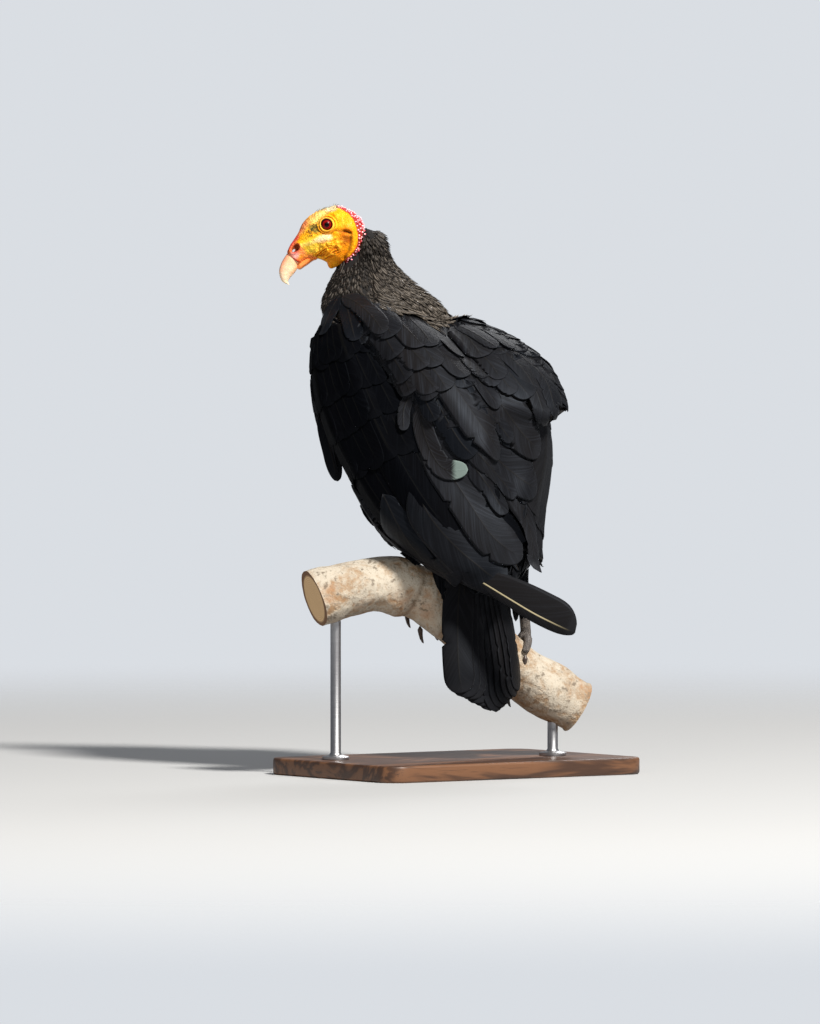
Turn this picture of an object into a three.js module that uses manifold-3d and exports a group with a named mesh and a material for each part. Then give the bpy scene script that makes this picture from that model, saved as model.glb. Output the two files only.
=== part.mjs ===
// A life-size yellow-headed vulture that grips a cut length of branch, with its display stand.
// Millimetres, +Z up. The bird faces -Y and its left side is +X. The origin lies on the base's
// underside, below the point between the feet.
import * as THREE from "three";
import { mergeVertices } from "three/addons/utils/BufferGeometryUtils.js";
import Module from "manifold-3d";

const wasm = await Module();
wasm.setup();

// ---------------------------------------------------------------- driving sizes
const GAP = 0.4; // clear space between pieces that touch
const HEAD_TURN = 55; // degrees that the head is turned to the bird's left
const HEAD_AT = [59, -145.5, 523]; // point between the two eyes
const EYE = { radius: 7, side: 12.4 };
const NOSTRIL = { ahead: 30, up: -22.2, long: 4.4, high: 2.8, slant: 48 };
const TOE_RADIUS = 4.4;
const CLAW = { radius: 3.3, reach: 19 };
const PERCH_RADIUS = 25.5;
const PERCH_TURN = 15; // degrees between the branch and the bird's left-right line
const PERCH_SET_BACK = -14; // y of the branch's centre line midway between the feet
const ROD = { radius: 5, left: -122, right: 98 }; // rods stand at these distances along the branch
const BASE = { wide: 300, deep: 210, thick: 16, corner: 22, bevel: 2.5, middle: [0, -14] };
const BIRD_SLUMP = 20; // how much lower the bird's right shoulder sits than its left

const V = (p) => new THREE.Vector3(...p);
const rad = THREE.MathUtils.degToRad;

// ---------------------------------------------------------------- shape tools
// A three.js geometry as a closed solid, turned right side out.
function solidOf(geometry) {
  const bare = geometry.clone();
  bare.deleteAttribute("normal");
  bare.deleteAttribute("uv");
  const merged = mergeVertices(bare, 1e-4);
  const triVerts = new Uint32Array(merged.index.array);
  const vertProperties = new Float32Array(merged.attributes.position.array);
  const made = new wasm.Manifold(new wasm.Mesh({ numProp: 3, vertProperties, triVerts }));
  if (made.volume() > 0) return made;
  for (let i = 0; i < triVerts.length; i += 3) {
    [triVerts[i + 1], triVerts[i + 2]] = [triVerts[i + 2], triVerts[i + 1]];
  }
  return new wasm.Manifold(new wasm.Mesh({ numProp: 3, vertProperties, triVerts }));
}

// A body swept from t = 0 to t = 1, where place(t, angle) is a point of its surface.
function sweptBody(along, around, place) {
  const ball = new THREE.SphereGeometry(1, around, along);
  const { position, uv } = ball.attributes;
  for (let i = 0; i < position.count; i++) {
    const t = 1 - uv.getY(i);
    const step = Math.round(uv.getX(i) * around) % around;
    position.setXYZ(i, ...place(t, (step / around) * 2 * Math.PI).toArray());
  }
  return solidOf(ball);
}

// Smooth line through points, and smooth sizes through rows of up to three numbers.
const line = (points) => new THREE.CatmullRomCurve3(points.map(V));
const sizes = (rows) => {
  const curve = line(rows.map((r) => [r[0], r[1] ?? 0, r[2] ?? 0]));
  return (t) => curve.getPoint(t).toArray();
};

// 1 along the middle of a body, falling to 0 at its ends over the lengths a and b of t.
function roundEnds(t, a, b) {
  const start = Math.min(1, t / a);
  const end = Math.min(1, (1 - t) / b);
  return Math.sqrt((1 - (1 - start) ** 2) * (1 - (1 - end) ** 2));
}

// A point at this angle on a rounded box section: power 2 is an ellipse, larger is squarer.
function section(angle, power) {
  const bend = (v) => Math.sign(v) * Math.abs(v) ** (2 / power);
  return [bend(Math.cos(angle)), bend(Math.sin(angle))];
}

// A body of level sections up a spine of [x, y, z] points. Rows give its half width and how far it
// reaches to the front and to the back; turned is the angle of its sections to the bird's left.
function bodyAlong(spine, rows, { along, around, power = 2, ends = [0.1, 0.1], grow = 0, turned = 0 }) {
  const centre = line(spine);
  const size = sizes(rows);
  const across = V([Math.cos(rad(turned)), Math.sin(rad(turned)), 0]);
  const front = V([across.y, -across.x, 0]);
  return sweptBody(along, around, (t, angle) => {
    const tangent = centre.getTangent(Math.min(0.999, Math.max(0.001, t)));
    const [wide, ahead, behind] = size(t);
    const [cx, cy] = section(angle, power);
    const k = roundEnds(t, ...ends);
    const depth = cy > 0 ? ahead : behind;
    return centre
      .getPoint(t)
      .addScaledVector(across, cx * (wide + grow) * k)
      .addScaledVector(front, cy * (depth + grow) * k)
      .addScaledVector(tangent, grow * (2 * t - 1) * (t < 0.1 || t > 0.9 ? 1 : 0));
  });
}

// A curved slab over the body, such as a folded wing. Three lines give its outer face: the lower
// edge, the middle and the upper edge. Rows of one number give its thickness.
function slab(lower, middle, upper, thick, { along, around, ends = [0.08, 0.08], grow = 0, side = 1 }) {
  const [low, mid, high] = [lower, middle, upper].map(line);
  const depth = sizes(thick);
  const face = (t, v) => {
    const a = low.getPoint(t);
    const m = mid.getPoint(t);
    const b = high.getPoint(t);
    const bend = a.clone().add(b).multiplyScalar(0.5).sub(m);
    return m.addScaledVector(b.sub(a), v / 2).addScaledVector(bend, v * v);
  };
  return sweptBody(along, around, (t, angle) => {
    const k = roundEnds(t, ...ends);
    const [cx, cy] = section(angle, 2.6);
    const v = cx * k;
    const inside = Math.min(0.985, Math.max(0.015, t));
    const down = face(inside + 0.01, v).sub(face(inside - 0.01, v));
    const over = face(inside, v + 0.02).sub(face(inside, v - 0.02));
    const out = down.cross(over).normalize().multiplyScalar(side);
    const width = Math.max(1, over.length() * 25);
    const half = depth(t)[0] / 2;
    return face(t, v * (1 + grow / width)).addScaledVector(out, (cy * (half + grow) - half) * k);
  });
}

const biggest = (solid) => solid.decompose().sort((a, b) => b.volume() - a.volume())[0];
const cut = (solid, ...tools) => biggest(tools.reduce((kept, tool) => kept.subtract(tool), solid));

// ---------------------------------------------------------------- head, bill and eyes
// The head's own axes: ahead along the bill, up, and out to the bird's left.
const turn = rad(HEAD_TURN);
const AHEAD = V([Math.sin(turn), -Math.cos(turn), 0]);
const OUT = V([Math.cos(turn), Math.sin(turn), 0]);
const onHead = (ahead, up, out = 0) =>
  V(HEAD_AT)
    .addScaledVector(AHEAD, ahead)
    .addScaledVector(OUT, out)
    .add(V([0, 0, up]));

// Sections of the head: the profile's upper point, its lower point and the half width.
const SKULL = [
  { top: [-36, -6], low: [-36, -12], wide: 3 },
  { top: [-32.5, 6], low: [-34, -24], wide: 12 },
  { top: [-23.5, 14.6], low: [-27, -34], wide: 18.5 },
  { top: [-10, 19], low: [-14, -38.5], wide: 20 },
  { top: [3, 13.6], low: [-3.5, -37.5], wide: 18.4 },
  { top: [13.2, 8.8], low: [5, -33.5], wide: 16.2 },
  { top: [21.4, 1], low: [11, -32.2], wide: 14 },
  { top: [28, -8.4], low: [16, -32.8], wide: 11 },
  { top: [34.4, -18.6], low: [21.5, -35], wide: 8.8 },
  { top: [38.8, -28], low: [26.5, -38.6], wide: 6.9 },
];
const HOOK = [
  { top: [38.8, -28.4], low: [27.4, -38.4], wide: 6.6 },
  { top: [42.4, -34], low: [28.6, -42], wide: 6.1 },
  { top: [45, -39.6], low: [30.6, -45.4], wide: 5.4 },
  { top: [45.9, -45], low: [33.4, -48.6], wide: 4.4 },
  { top: [45, -50.4], low: [36.2, -52], wide: 3.2 },
  { top: [42.2, -55], low: [37.4, -54.8], wide: 2 },
  { top: [36, -58], low: [35.6, -57.6], wide: 0.7 },
];
const LOWER_BILL = [
  { top: [12, -29.4], low: [13, -34.4], wide: 6 },
  { top: [18, -31.8], low: [17, -37.2], wide: 6.2 },
  { top: [23.6, -36], low: [21.6, -40.4], wide: 5.4 },
  { top: [29, -41], low: [27.2, -44.4], wide: 3.6 },
];

// A body through head sections, where k rounds its two ends.
function headPiece(rows, { along, around, power, ends, grow = 0 }) {
  const tops = line(rows.map((r) => [...r.top, r.wide]));
  const lows = line(rows.map((r) => [...r.low, r.wide]));
  return sweptBody(along, around, (t, angle) => {
    const [cx, cy] = section(angle, power);
    const k = roundEnds(t, ...ends);
    const a = tops.getPoint(t);
    const b = lows.getPoint(t);
    const half = Math.hypot(a.x - b.x, a.y - b.y) / 2;
    const share = (cy * k * (half + grow)) / half;
    const ahead = (a.x + b.x) / 2 + ((a.x - b.x) / 2) * share;
    const up = (a.y + b.y) / 2 + ((a.y - b.y) / 2) * share;
    return onHead(ahead, up, cx * k * (a.z + grow));
  });
}

const headShape = (grow) =>
  headPiece(SKULL, { along: 15, around: 16, power: 2.2, ends: [0.09, 0.03], grow });
const hookShape = (grow) =>
  headPiece(HOOK, { along: 12, around: 14, power: 2.1, ends: [0.05, 0.12], grow });
const lowerBillShape = (grow) =>
  headPiece(LOWER_BILL, { along: 7, around: 12, power: 2.2, ends: [0.12, 0.14], grow });

function eyeBall(side, grow) {
  const centre = onHead(0, 0, side * EYE.side);
  const ball = new THREE.SphereGeometry(EYE.radius + grow, 12, 8);
  return solidOf(ball.translate(centre.x, centre.y, centre.z));
}

// The nostrils meet, so one oval hole runs right through the root of the bill.
function nostrilHole() {
  const hole = new THREE.CylinderGeometry(1, 1, 40, 12);
  const slant = rad(NOSTRIL.slant);
  const along = AHEAD.clone().multiplyScalar(Math.cos(slant)).add(V([0, 0, -Math.sin(slant)]));
  const across = new THREE.Matrix4().makeBasis(
    along.clone().multiplyScalar(NOSTRIL.long),
    OUT.clone(),
    along.clone().cross(OUT).multiplyScalar(NOSTRIL.high),
  );
  hole.applyMatrix4(across.setPosition(onHead(NOSTRIL.ahead, NOSTRIL.up)));
  return solidOf(hole);
}

// ---------------------------------------------------------------- neck, trunk and tail
const NECK_SPINE = [
  [8, -96, 404],
  [13, -113, 427],
  [15, -120, 445],
  [21, -126, 465],
  [26, -130, 487],
  [28.5, -127, 505],
  [31, -120, 521],
];
const NECK_SIZE = [
  [54, 48, 50],
  [74, 55, 61],
  [68, 59, 58],
  [48, 47, 43],
  [31, 30, 29],
  [24, 24, 22],
  [9, 9, 8],
];
const TRUNK_SPINE = [
  [0, 26, 196],
  [0, 14, 232],
  [0, -8, 275],
  [0, -32, 322],
  [0, -56, 368],
  [3, -80, 410],
  [8, -104, 446],
];
const TRUNK_SIZE = [
  [30, 20, 26],
  [50, 46, 44],
  [68, 70, 64],
  [80, 82, 74],
  [84, 90, 74],
  [80, 89, 62],
  [64, 62, 48],
];
const TAIL_SPINE = [
  [0, 18, 214],
  [0, 19, 190],
  [0, 24, 158],
  [0, 31, 120],
  [0, 37, 86],
  [0, 41, 60],
];
const TAIL_SIZE = [
  [34, 7, 9],
  [41, 5, 9],
  [45, 3.5, 7],
  [46, 3, 5.5],
  [43, 2.5, 4.5],
  [36, 2, 3],
];

const neckShape = (grow) =>
  bodyAlong(NECK_SPINE, NECK_SIZE, { along: 11, around: 16, ends: [0.12, 0.12], turned: 20, grow });
const trunkShape = (grow) =>
  bodyAlong(TRUNK_SPINE, TRUNK_SIZE, { along: 12, around: 16, power: 2.1, ends: [0.12, 0.1], grow });
const tailShape = (grow) =>
  bodyAlong(TAIL_SPINE, TAIL_SIZE, { along: 12, around: 14, power: 2.8, ends: [0.06, 0.06], grow });

// ---------------------------------------------------------------- wings
// Each row is one step down the folded wing: its lower edge, middle, upper edge and thickness.
// The left wing's quills cross over the right's, behind the tail.
const WING = [
  { low: [84, -136, 420], mid: [92, -104, 438], high: [56, -70, 446], thick: 20 },
  { low: [90, -134, 388], mid: [108, -80, 402], high: [50, -18, 420], thick: 34 },
  { low: [92, -114, 330], mid: [112, -48, 350], high: [40, 22, 376], thick: 38 },
  { low: [80, -82, 274], mid: [102, -20, 300], high: [30, 52, 320], thick: 32 },
  { low: [68, -38, 222], mid: [86, 22, 246], high: [8, 84, 262], thick: 24 },
  { low: [36, 28, 186], mid: [44, 66, 192], high: [-24, 98, 200], thick: 12 },
];
const QUILLS = [
  { low: [82, -92, 290], mid: [92, -50, 300], high: [66, 0, 300], thick: 14 },
  { low: [72, -60, 238], mid: [80, -20, 248], high: [50, 34, 255], thick: 14 },
  { low: [52, -6, 196], mid: [58, 34, 206], high: [14, 70, 222], thick: 12 },
  { low: [14, 60, 166], mid: [14, 84, 176], high: [-26, 104, 190], thick: 9 },
  { low: [-26, 126, 134], mid: [-32, 134, 135], high: [-32, 134, 148], thick: 5 },
];
const RIGHT_WING_MIDDLE = [
  { low: [-90, -108, 318], mid: [-112, -30, 338], high: [-56, 40, 364], thick: 38 },
  { low: [-80, -78, 266], mid: [-104, -6, 292], high: [-44, 60, 312], thick: 32 },
];
const RIGHT_WING_END = [
  { low: [-76, -38, 218], mid: [-86, 14, 240], high: [-20, 68, 256], thick: 24 },
  { low: [-40, 20, 186], mid: [-54, 56, 196], high: [-2, 82, 204], thick: 12 },
];
const RIGHT_QUILLS_END = [
  { low: [-54, -10, 200], mid: [-62, 26, 206], high: [-18, 56, 220], thick: 12 },
  { low: [-18, 46, 180], mid: [-20, 66, 186], high: [12, 76, 196], thick: 9 },
  { low: [8, 90, 166], mid: [12, 96, 168], high: [22, 97, 176], thick: 5 },
];
// The scapulars: long feathers that lie like a cape over the shoulder and the wing's root.
const CAPE = [
  { low: [64, -118, 460], mid: [48, -98, 466], high: [28, -84, 456], thick: 12 },
  { low: [86, -70, 424], mid: [62, -46, 442], high: [14, -30, 438], thick: 16 },
  { low: [80, -20, 384], mid: [56, 2, 408], high: [8, 10, 408], thick: 18 },
  { low: [66, 20, 332], mid: [46, 44, 358], high: [4, 42, 372], thick: 16 },
  { low: [36, 62, 286], mid: [22, 74, 300], high: [-2, 66, 326], thick: 8 },
];
const RIGHT_CAPE = [
  { low: [-70, -84, 430], mid: [-46, -62, 438], high: [-14, -54, 444], thick: 12 },
  { low: [-94, -46, 406], mid: [-62, -22, 422], high: [-10, -18, 428], thick: 16 },
  { low: [-101, 0, 382], mid: [-71, 22, 400], high: [-8, 18, 402], thick: 18 },
  { low: [-95, 38, 350], mid: [-68, 54, 364], high: [-6, 46, 370], thick: 14 },
  { low: [-78, 62, 332], mid: [-54, 70, 334], high: [-8, 62, 338], thick: 8 },
];
// The thumb's stiff feathers, along the wing's leading edge.
const ALULA = [
  { low: [80, -138, 400], mid: [90, -131, 402], high: [94, -118, 400], thick: 6 },
  { low: [88, -134, 364], mid: [98, -119, 366], high: [102, -102, 366], thick: 8 },
  { low: [88, -120, 322], mid: [96, -108, 326], high: [101, -92, 330], thick: 7 },
  { low: [79, -93, 280], mid: [83, -90, 282], high: [88, -84, 290], thick: 4 },
];

// The right side's row: mirrored, with its shoulder lower by the slump, which fades to the tip.
const rightSide = (rows, drop) =>
  rows.map((r, i) => {
    const flip = ([x, y, z]) => [-x, y, z - drop * (1 - i / (rows.length - 1))];
    return { low: flip(r.low), mid: flip(r.mid), high: flip(r.high), thick: r.thick };
  });
const slabOf = (rows, options) =>
  slab(
    rows.map((r) => r.low),
    rows.map((r) => r.mid),
    rows.map((r) => r.high),
    rows.map((r) => [r.thick]),
    options,
  );

const WINGS = {
  left: { wing: WING, quills: QUILLS, cape: CAPE, alula: ALULA },
  right: {
    wing: [...rightSide(WING, BIRD_SLUMP).slice(0, 2), ...RIGHT_WING_MIDDLE, ...RIGHT_WING_END],
    quills: [...rightSide(QUILLS, 0).slice(0, 2), ...RIGHT_QUILLS_END],
    cape: RIGHT_CAPE,
    alula: rightSide(ALULA, BIRD_SLUMP),
  },
};
const facing = { left: 1, right: -1 };
const wingShape = (side, grow) =>
  slabOf(WINGS[side].wing, { along: 13, around: 14, ends: [0.1, 0.1], grow, side: facing[side] });
const quillShape = (side, grow) =>
  slabOf(WINGS[side].quills, { along: 12, around: 12, ends: [0.05, 0.06], grow, side: facing[side] });
const capeShape = (side, grow) =>
  slabOf(WINGS[side].cape, { along: 10, around: 12, ends: [0.1, 0.1], grow, side: facing[side] });
const alulaShape = (side, grow) =>
  slabOf(WINGS[side].alula, { along: 7, around: 8, ends: [0.1, 0.2], grow, side: facing[side] });

// ---------------------------------------------------------------- branch
const perchTurn = rad(PERCH_TURN);
const BRANCH = [
  // distance along, height of the centre line, and radius as a share of PERCH_RADIUS
  [-152, 166, 1.1],
  [-112, 177, 1.02],
  [-72, 181, 1],
  [-36, 172, 0.98],
  [0, 147, 1],
  [40, 115, 1],
  [80, 86, 1],
  [134, 56, 0.98],
];
const perchPoint = (d, z) => [
  -Math.cos(perchTurn) * d,
  PERCH_SET_BACK + Math.sin(perchTurn) * d,
  z,
];
const branchLine = line(BRANCH.map(([d, z]) => perchPoint(d, z)));
const branchGirth = sizes(BRANCH.map((r) => [r[2]]));
// The place along the branch's line, from 0 to 1, whose distance along is d.
function branchAt(d) {
  let [a, b] = [0, 1];
  for (let i = 0; i < 30; i++) {
    const m = (a + b) / 2;
    const along = -branchLine.getPoint(m).x / Math.cos(perchTurn);
    if (along < d) a = m;
    else b = m;
  }
  return (a + b) / 2;
}
const PERCH_FRONT = V([-Math.sin(perchTurn), -Math.cos(perchTurn), 0]);

// A point round the branch: distance along, angle from its top towards the bird's front, height off.
function roundBranch(d, angle, off) {
  const t = branchAt(d);
  const tangent = branchLine.getTangent(t);
  const up = tangent.clone().cross(PERCH_FRONT).normalize();
  if (up.z < 0) up.negate();
  const out = PERCH_RADIUS * branchGirth(t)[0] + off;
  return branchLine
    .getPoint(t)
    .addScaledVector(up, Math.cos(angle) * out)
    .addScaledVector(PERCH_FRONT, Math.sin(angle) * out);
}

// The branch swells and dips a little, and both of its ends are sawn flat.
function perchShape(grow) {
  return sweptBody(16, 14, (t, angle) => {
    const tangent = branchLine.getTangent(t);
    const up = tangent.clone().cross(PERCH_FRONT).normalize();
    const knots = 0.03 * Math.sin(11 * t + 2 * angle) + 0.025 * Math.sin(27 * t - 3 * angle);
    const radius = PERCH_RADIUS * branchGirth(t)[0] * (1 + knots) + grow;
    const k = t < 0.001 || t > 0.999 ? 0 : 1;
    const flat = Math.min(0.97, Math.max(0.03, (t - 0.5) * 1.08 + 0.5));
    return branchLine
      .getPoint(k ? flat : t < 0.5 ? 0.03 : 0.97)
      .addScaledVector(up, Math.cos(angle) * radius * k)
      .addScaledVector(PERCH_FRONT, Math.sin(angle) * radius * k);
  });
}

// ---------------------------------------------------------------- legs, feet and claws
const LEGS = {
  left: {
    foot: -24,
    thigh: [[56, -44, 290], [56, -40, 262], [52, -34, 236], [40, -26, 208]],
    girth: [[26, 26, 26], [28, 28, 26], [26, 24, 24], [18, 15, 16]],
    heel: [26, -2, 228],
  },
  right: {
    foot: 54,
    thigh: [[-44, -40, 284], [-49, -18, 246], [-52, 4, 216], [-53, 15, 190]],
    girth: [[26, 26, 26], [25, 27, 24], [17, 18, 17], [9, 9, 9]],
    heel: [-53, 16, 202],
  },
};
const TARSUS_RADIUS = 5;
const BALL_OF_FOOT = 14; // degrees in front of the branch's top
// Each toe: how far it spreads along the branch, where it ends round the branch, and how far the
// claw and last joint then hang straight down.
const TOES = [
  { name: "inner", spread: 15, round: 100, hang: 6 },
  { name: "middle", spread: 2, round: 108, hang: 15 },
  { name: "outer", spread: -13, round: 108, hang: 8 },
  { name: "hind", spread: 2, round: -62, hang: 2 },
];

function toeLine(leg, toe) {
  const outward = leg === "left" ? 1 : -1;
  const points = [];
  for (let i = 0; i <= 5; i++) {
    const s = i / 5;
    const d = LEGS[leg].foot + outward * toe.spread * Math.min(1, s * 1.6);
    const angle = rad(BALL_OF_FOOT + (toe.round - BALL_OF_FOOT) * s);
    points.push(roundBranch(d, angle, TOE_RADIUS * 0.8).toArray());
  }
  const [x, y, z] = points.at(-1);
  points.push([x, y, z - toe.hang]);
  return points;
}

function tube(points, radiusAt, along, around) {
  const centre = line(points);
  return sweptBody(along, around, (t, angle) => {
    const tangent = centre.getTangent(t);
    const a = tangent.clone().cross(V([0.96, -0.26, 0.1])).normalize();
    const b = tangent.clone().cross(a);
    const r = radiusAt(t);
    return centre
      .getPoint(t)
      .addScaledVector(a, Math.cos(angle) * r)
      .addScaledVector(b, Math.sin(angle) * r);
  });
}

const toeBody = (leg, toe, grow) =>
  tube(
    toeLine(leg, toe),
    (t) => (TOE_RADIUS * (1.12 - 0.3 * t) + grow) * roundEnds(t, 0.12, 0.12),
    6,
    6,
  );

// The claw leaves the end of the toe and hooks back under the branch.
function clawLine(leg, toe) {
  const end = toeLine(leg, toe).at(-1);
  const towards = toe.round > 0 ? 1 : -1;
  const hook = PERCH_FRONT.clone().multiplyScalar(-towards);
  return [0, 1, 2, 3].map((i) => {
    const s = i / 3;
    return V(end)
      .add(V([0, 0, -CLAW.reach * Math.sin(s * 1.25)]))
      .addScaledVector(hook, CLAW.reach * 0.62 * s * s)
      .toArray();
  });
}
const clawBody = (leg, toe, grow) =>
  tube(
    clawLine(leg, toe),
    (t) => (CLAW.radius * (1 - 0.8 * t) + grow) * roundEnds(t, 0.12, 0.06),
    5,
    6,
  );

function tarsusShape(leg, grow) {
  const foot = roundBranch(LEGS[leg].foot, rad(BALL_OF_FOOT), 9).toArray();
  const heel = LEGS[leg].heel;
  const knee = heel.map((v, i) => v + (heel[i] - foot[i]) * 0.16);
  return tube([foot, heel, knee], (t) => (TARSUS_RADIUS + grow) * roundEnds(t, 0.03, 0.1), 6, 10);
}

function footShape(leg, grow) {
  const ball = new THREE.SphereGeometry(7.4 + grow, 8, 6);
  const at = roundBranch(LEGS[leg].foot, rad(BALL_OF_FOOT), 5);
  const palm = solidOf(ball.translate(at.x, at.y, at.z));
  return TOES.reduce((sum, toe) => sum.add(toeBody(leg, toe, grow)), palm);
}

const thighShape = (leg, grow) =>
  bodyAlong(LEGS[leg].thigh, LEGS[leg].girth, { along: 8, around: 14, ends: [0.14, 0.14], grow });

// ---------------------------------------------------------------- stand
function baseShape() {
  const { wide, deep, thick, corner, bevel, middle } = BASE;
  const [w, d] = [wide / 2 - bevel, deep / 2 - bevel];
  const plan = new THREE.Shape();
  plan.moveTo(-w + corner, -d);
  plan.lineTo(w - corner, -d).absarc(w - corner, -d + corner, corner, -Math.PI / 2, 0);
  plan.lineTo(w, d - corner).absarc(w - corner, d - corner, corner, 0, Math.PI / 2);
  plan.lineTo(-w + corner, d).absarc(-w + corner, d - corner, corner, Math.PI / 2, Math.PI);
  plan.lineTo(-w, -d + corner).absarc(-w + corner, -d + corner, corner, Math.PI, 1.5 * Math.PI);
  const board = new THREE.ExtrudeGeometry(plan, {
    depth: thick - 2 * bevel,
    bevelThickness: bevel,
    bevelSize: bevel,
    bevelSegments: 1,
    curveSegments: 4,
  });
  return solidOf(board.translate(middle[0], middle[1], bevel));
}

function rodShape(d) {
  const top = branchLine.getPoint(branchAt(d));
  const bottom = BASE.thick + GAP;
  const rod = new THREE.CylinderGeometry(ROD.radius, ROD.radius, top.z - bottom, 16);
  rod.rotateX(Math.PI / 2).translate(top.x, top.y, (top.z + bottom) / 2);
  return solidOf(rod);
}

// ---------------------------------------------------------------- materials
const finish = (color, roughness, metalness = 0) =>
  new THREE.MeshStandardMaterial({ color, roughness, metalness });
const MATERIALS = {
  plumage: finish(0x17161a, 0.6),
  quill: finish(0x121116, 0.45),
  mantle: finish(0x2a2622, 0.8),
  face: finish(0xe8901c, 0.55),
  horn: finish(0xe6c8a4, 0.4),
  eye: finish(0x8c1408, 0.1),
  scale: finish(0x4c4644, 0.7),
  claw: finish(0x2e2a2a, 0.45),
  bark: finish(0xbfae98, 0.9),
  wood: finish(0x5a3d26, 0.5),
  steel: finish(0x9a9a9c, 0.35, 1),
};

// ---------------------------------------------------------------- the model
const model = new THREE.Group();

function addNode(name, solid, material) {
  const { vertProperties, triVerts, numProp } = solid.simplify(0.15).getMesh();
  const count = vertProperties.length / numProp;
  const points = new Float32Array(count * 3);
  for (let i = 0; i < count; i++) {
    points.set(vertProperties.subarray(i * numProp, i * numProp + 3), i * 3);
  }
  const geometry = new THREE.BufferGeometry();
  geometry.setAttribute("position", new THREE.BufferAttribute(points, 3));
  geometry.setIndex(new THREE.BufferAttribute(new Uint32Array(triVerts), 1));
  geometry.computeVertexNormals();
  const mesh = new THREE.Mesh(geometry, MATERIALS[material]);
  mesh.name = name;
  model.add(mesh);
}

// Head
const eyes = [eyeBall(1, GAP), eyeBall(-1, GAP)];
addNode("bill_upper", hookShape(0), "horn");
addNode("bill_lower", cut(lowerBillShape(0), hookShape(GAP)), "horn");
addNode("eye_left", eyeBall(1, 0), "eye");
addNode("eye_right", eyeBall(-1, 0), "eye");
addNode("head", cut(headShape(0), hookShape(GAP), lowerBillShape(GAP), nostrilHole(), ...eyes), "face");

// Branch and stand
addNode("perch_branch", perchShape(0), "bark");
addNode("stand_base", baseShape(), "wood");
addNode("stand_rod_left", cut(rodShape(ROD.left), perchShape(GAP)), "steel");
addNode("stand_rod_right", cut(rodShape(ROD.right), perchShape(GAP)), "steel");

// Wings, from the outermost feathers inwards. The left wing lies over the right.
const covers = [];
for (const side of ["left", "right"]) {
  addNode(`scapulars_${side}`, cut(capeShape(side, 0), ...covers, neckShape(GAP)), "plumage");
  covers.push(capeShape(side, GAP));
  addNode(`alula_${side}`, cut(alulaShape(side, 0), ...covers), "quill");
  covers.push(alulaShape(side, GAP));
  addNode(`wing_${side}`, cut(wingShape(side, 0), ...covers, neckShape(GAP)), "plumage");
  covers.push(wingShape(side, GAP));
  addNode(`primaries_${side}`, cut(quillShape(side, 0), ...covers), "quill");
  covers.push(quillShape(side, GAP));
}

// Neck, trunk, thighs and tail fill what the wings leave.
addNode("neck", cut(neckShape(0), headShape(GAP)), "mantle");
addNode("trunk", cut(trunkShape(0), ...covers, neckShape(GAP)), "plumage");
const flesh = [...covers, trunkShape(GAP)];
for (const leg of ["left", "right"]) {
  addNode(`thigh_${leg}`, cut(thighShape(leg, 0), ...flesh, perchShape(GAP)), "plumage");
}
const thighs = [thighShape("left", GAP), thighShape("right", GAP)];
addNode("tail", cut(tailShape(0), ...flesh, ...thighs, perchShape(GAP)), "quill");

// Feet grip the branch; every claw is its own piece.
for (const leg of ["left", "right"]) {
  for (const toe of TOES) {
    const claw = cut(clawBody(leg, toe, 0), perchShape(GAP), ...flesh, tailShape(GAP));
    addNode(`claw_${leg}_${toe.name}`, claw, "claw");
  }
  const claws = TOES.map((toe) => clawBody(leg, toe, GAP));
  const around = [perchShape(GAP), ...flesh, ...thighs, tailShape(GAP)];
  addNode(`foot_${leg}`, cut(footShape(leg, 0), ...claws, ...around), "scale");
  addNode(`tarsus_${leg}`, cut(tarsusShape(leg, 0), footShape(leg, GAP), ...around), "scale");
}

export default model;
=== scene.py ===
"""A lesser yellow-headed vulture perched on a cut length of branch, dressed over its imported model.

Sizes and places are in millimetres, in the model's own frame: the bird faces -Y, its left side is +X, and
MM turns them into metres where a mesh is placed. Places on the head are (ahead, up, out) from the eye line.
"""
import math

import bmesh
import bpy
import numpy as np
from mathutils import Matrix, Vector, noise
from mathutils.bvhtree import BVHTree


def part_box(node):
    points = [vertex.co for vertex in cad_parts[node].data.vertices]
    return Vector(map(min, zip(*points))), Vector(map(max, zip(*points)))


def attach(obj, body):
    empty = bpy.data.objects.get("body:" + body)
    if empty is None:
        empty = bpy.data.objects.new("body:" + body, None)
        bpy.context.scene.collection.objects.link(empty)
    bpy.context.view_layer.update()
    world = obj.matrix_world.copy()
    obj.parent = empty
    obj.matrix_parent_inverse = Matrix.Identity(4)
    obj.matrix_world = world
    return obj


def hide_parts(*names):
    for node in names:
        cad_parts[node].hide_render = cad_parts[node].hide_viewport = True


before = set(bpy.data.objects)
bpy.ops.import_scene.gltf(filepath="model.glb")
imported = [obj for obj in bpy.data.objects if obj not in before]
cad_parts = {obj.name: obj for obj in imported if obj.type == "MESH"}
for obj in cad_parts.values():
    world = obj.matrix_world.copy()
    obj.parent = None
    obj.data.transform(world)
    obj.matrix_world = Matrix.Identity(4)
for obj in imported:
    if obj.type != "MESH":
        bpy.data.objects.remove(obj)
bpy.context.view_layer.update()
MM = 0.001
TURN = 2 * math.pi

# ---- sizes shared with the part's source

HEAD_AT = np.array([59.0, -145.5, 523.0])
HEAD_TURN = math.radians(55)
AHEAD = np.array([math.sin(HEAD_TURN), -math.cos(HEAD_TURN), 0.0])
OUT = np.array([math.cos(HEAD_TURN), math.sin(HEAD_TURN), 0.0])
UP = np.array([0.0, 0.0, 1.0])
EYE_RADIUS = 7.0
EYE_OUT = 12.4

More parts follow.
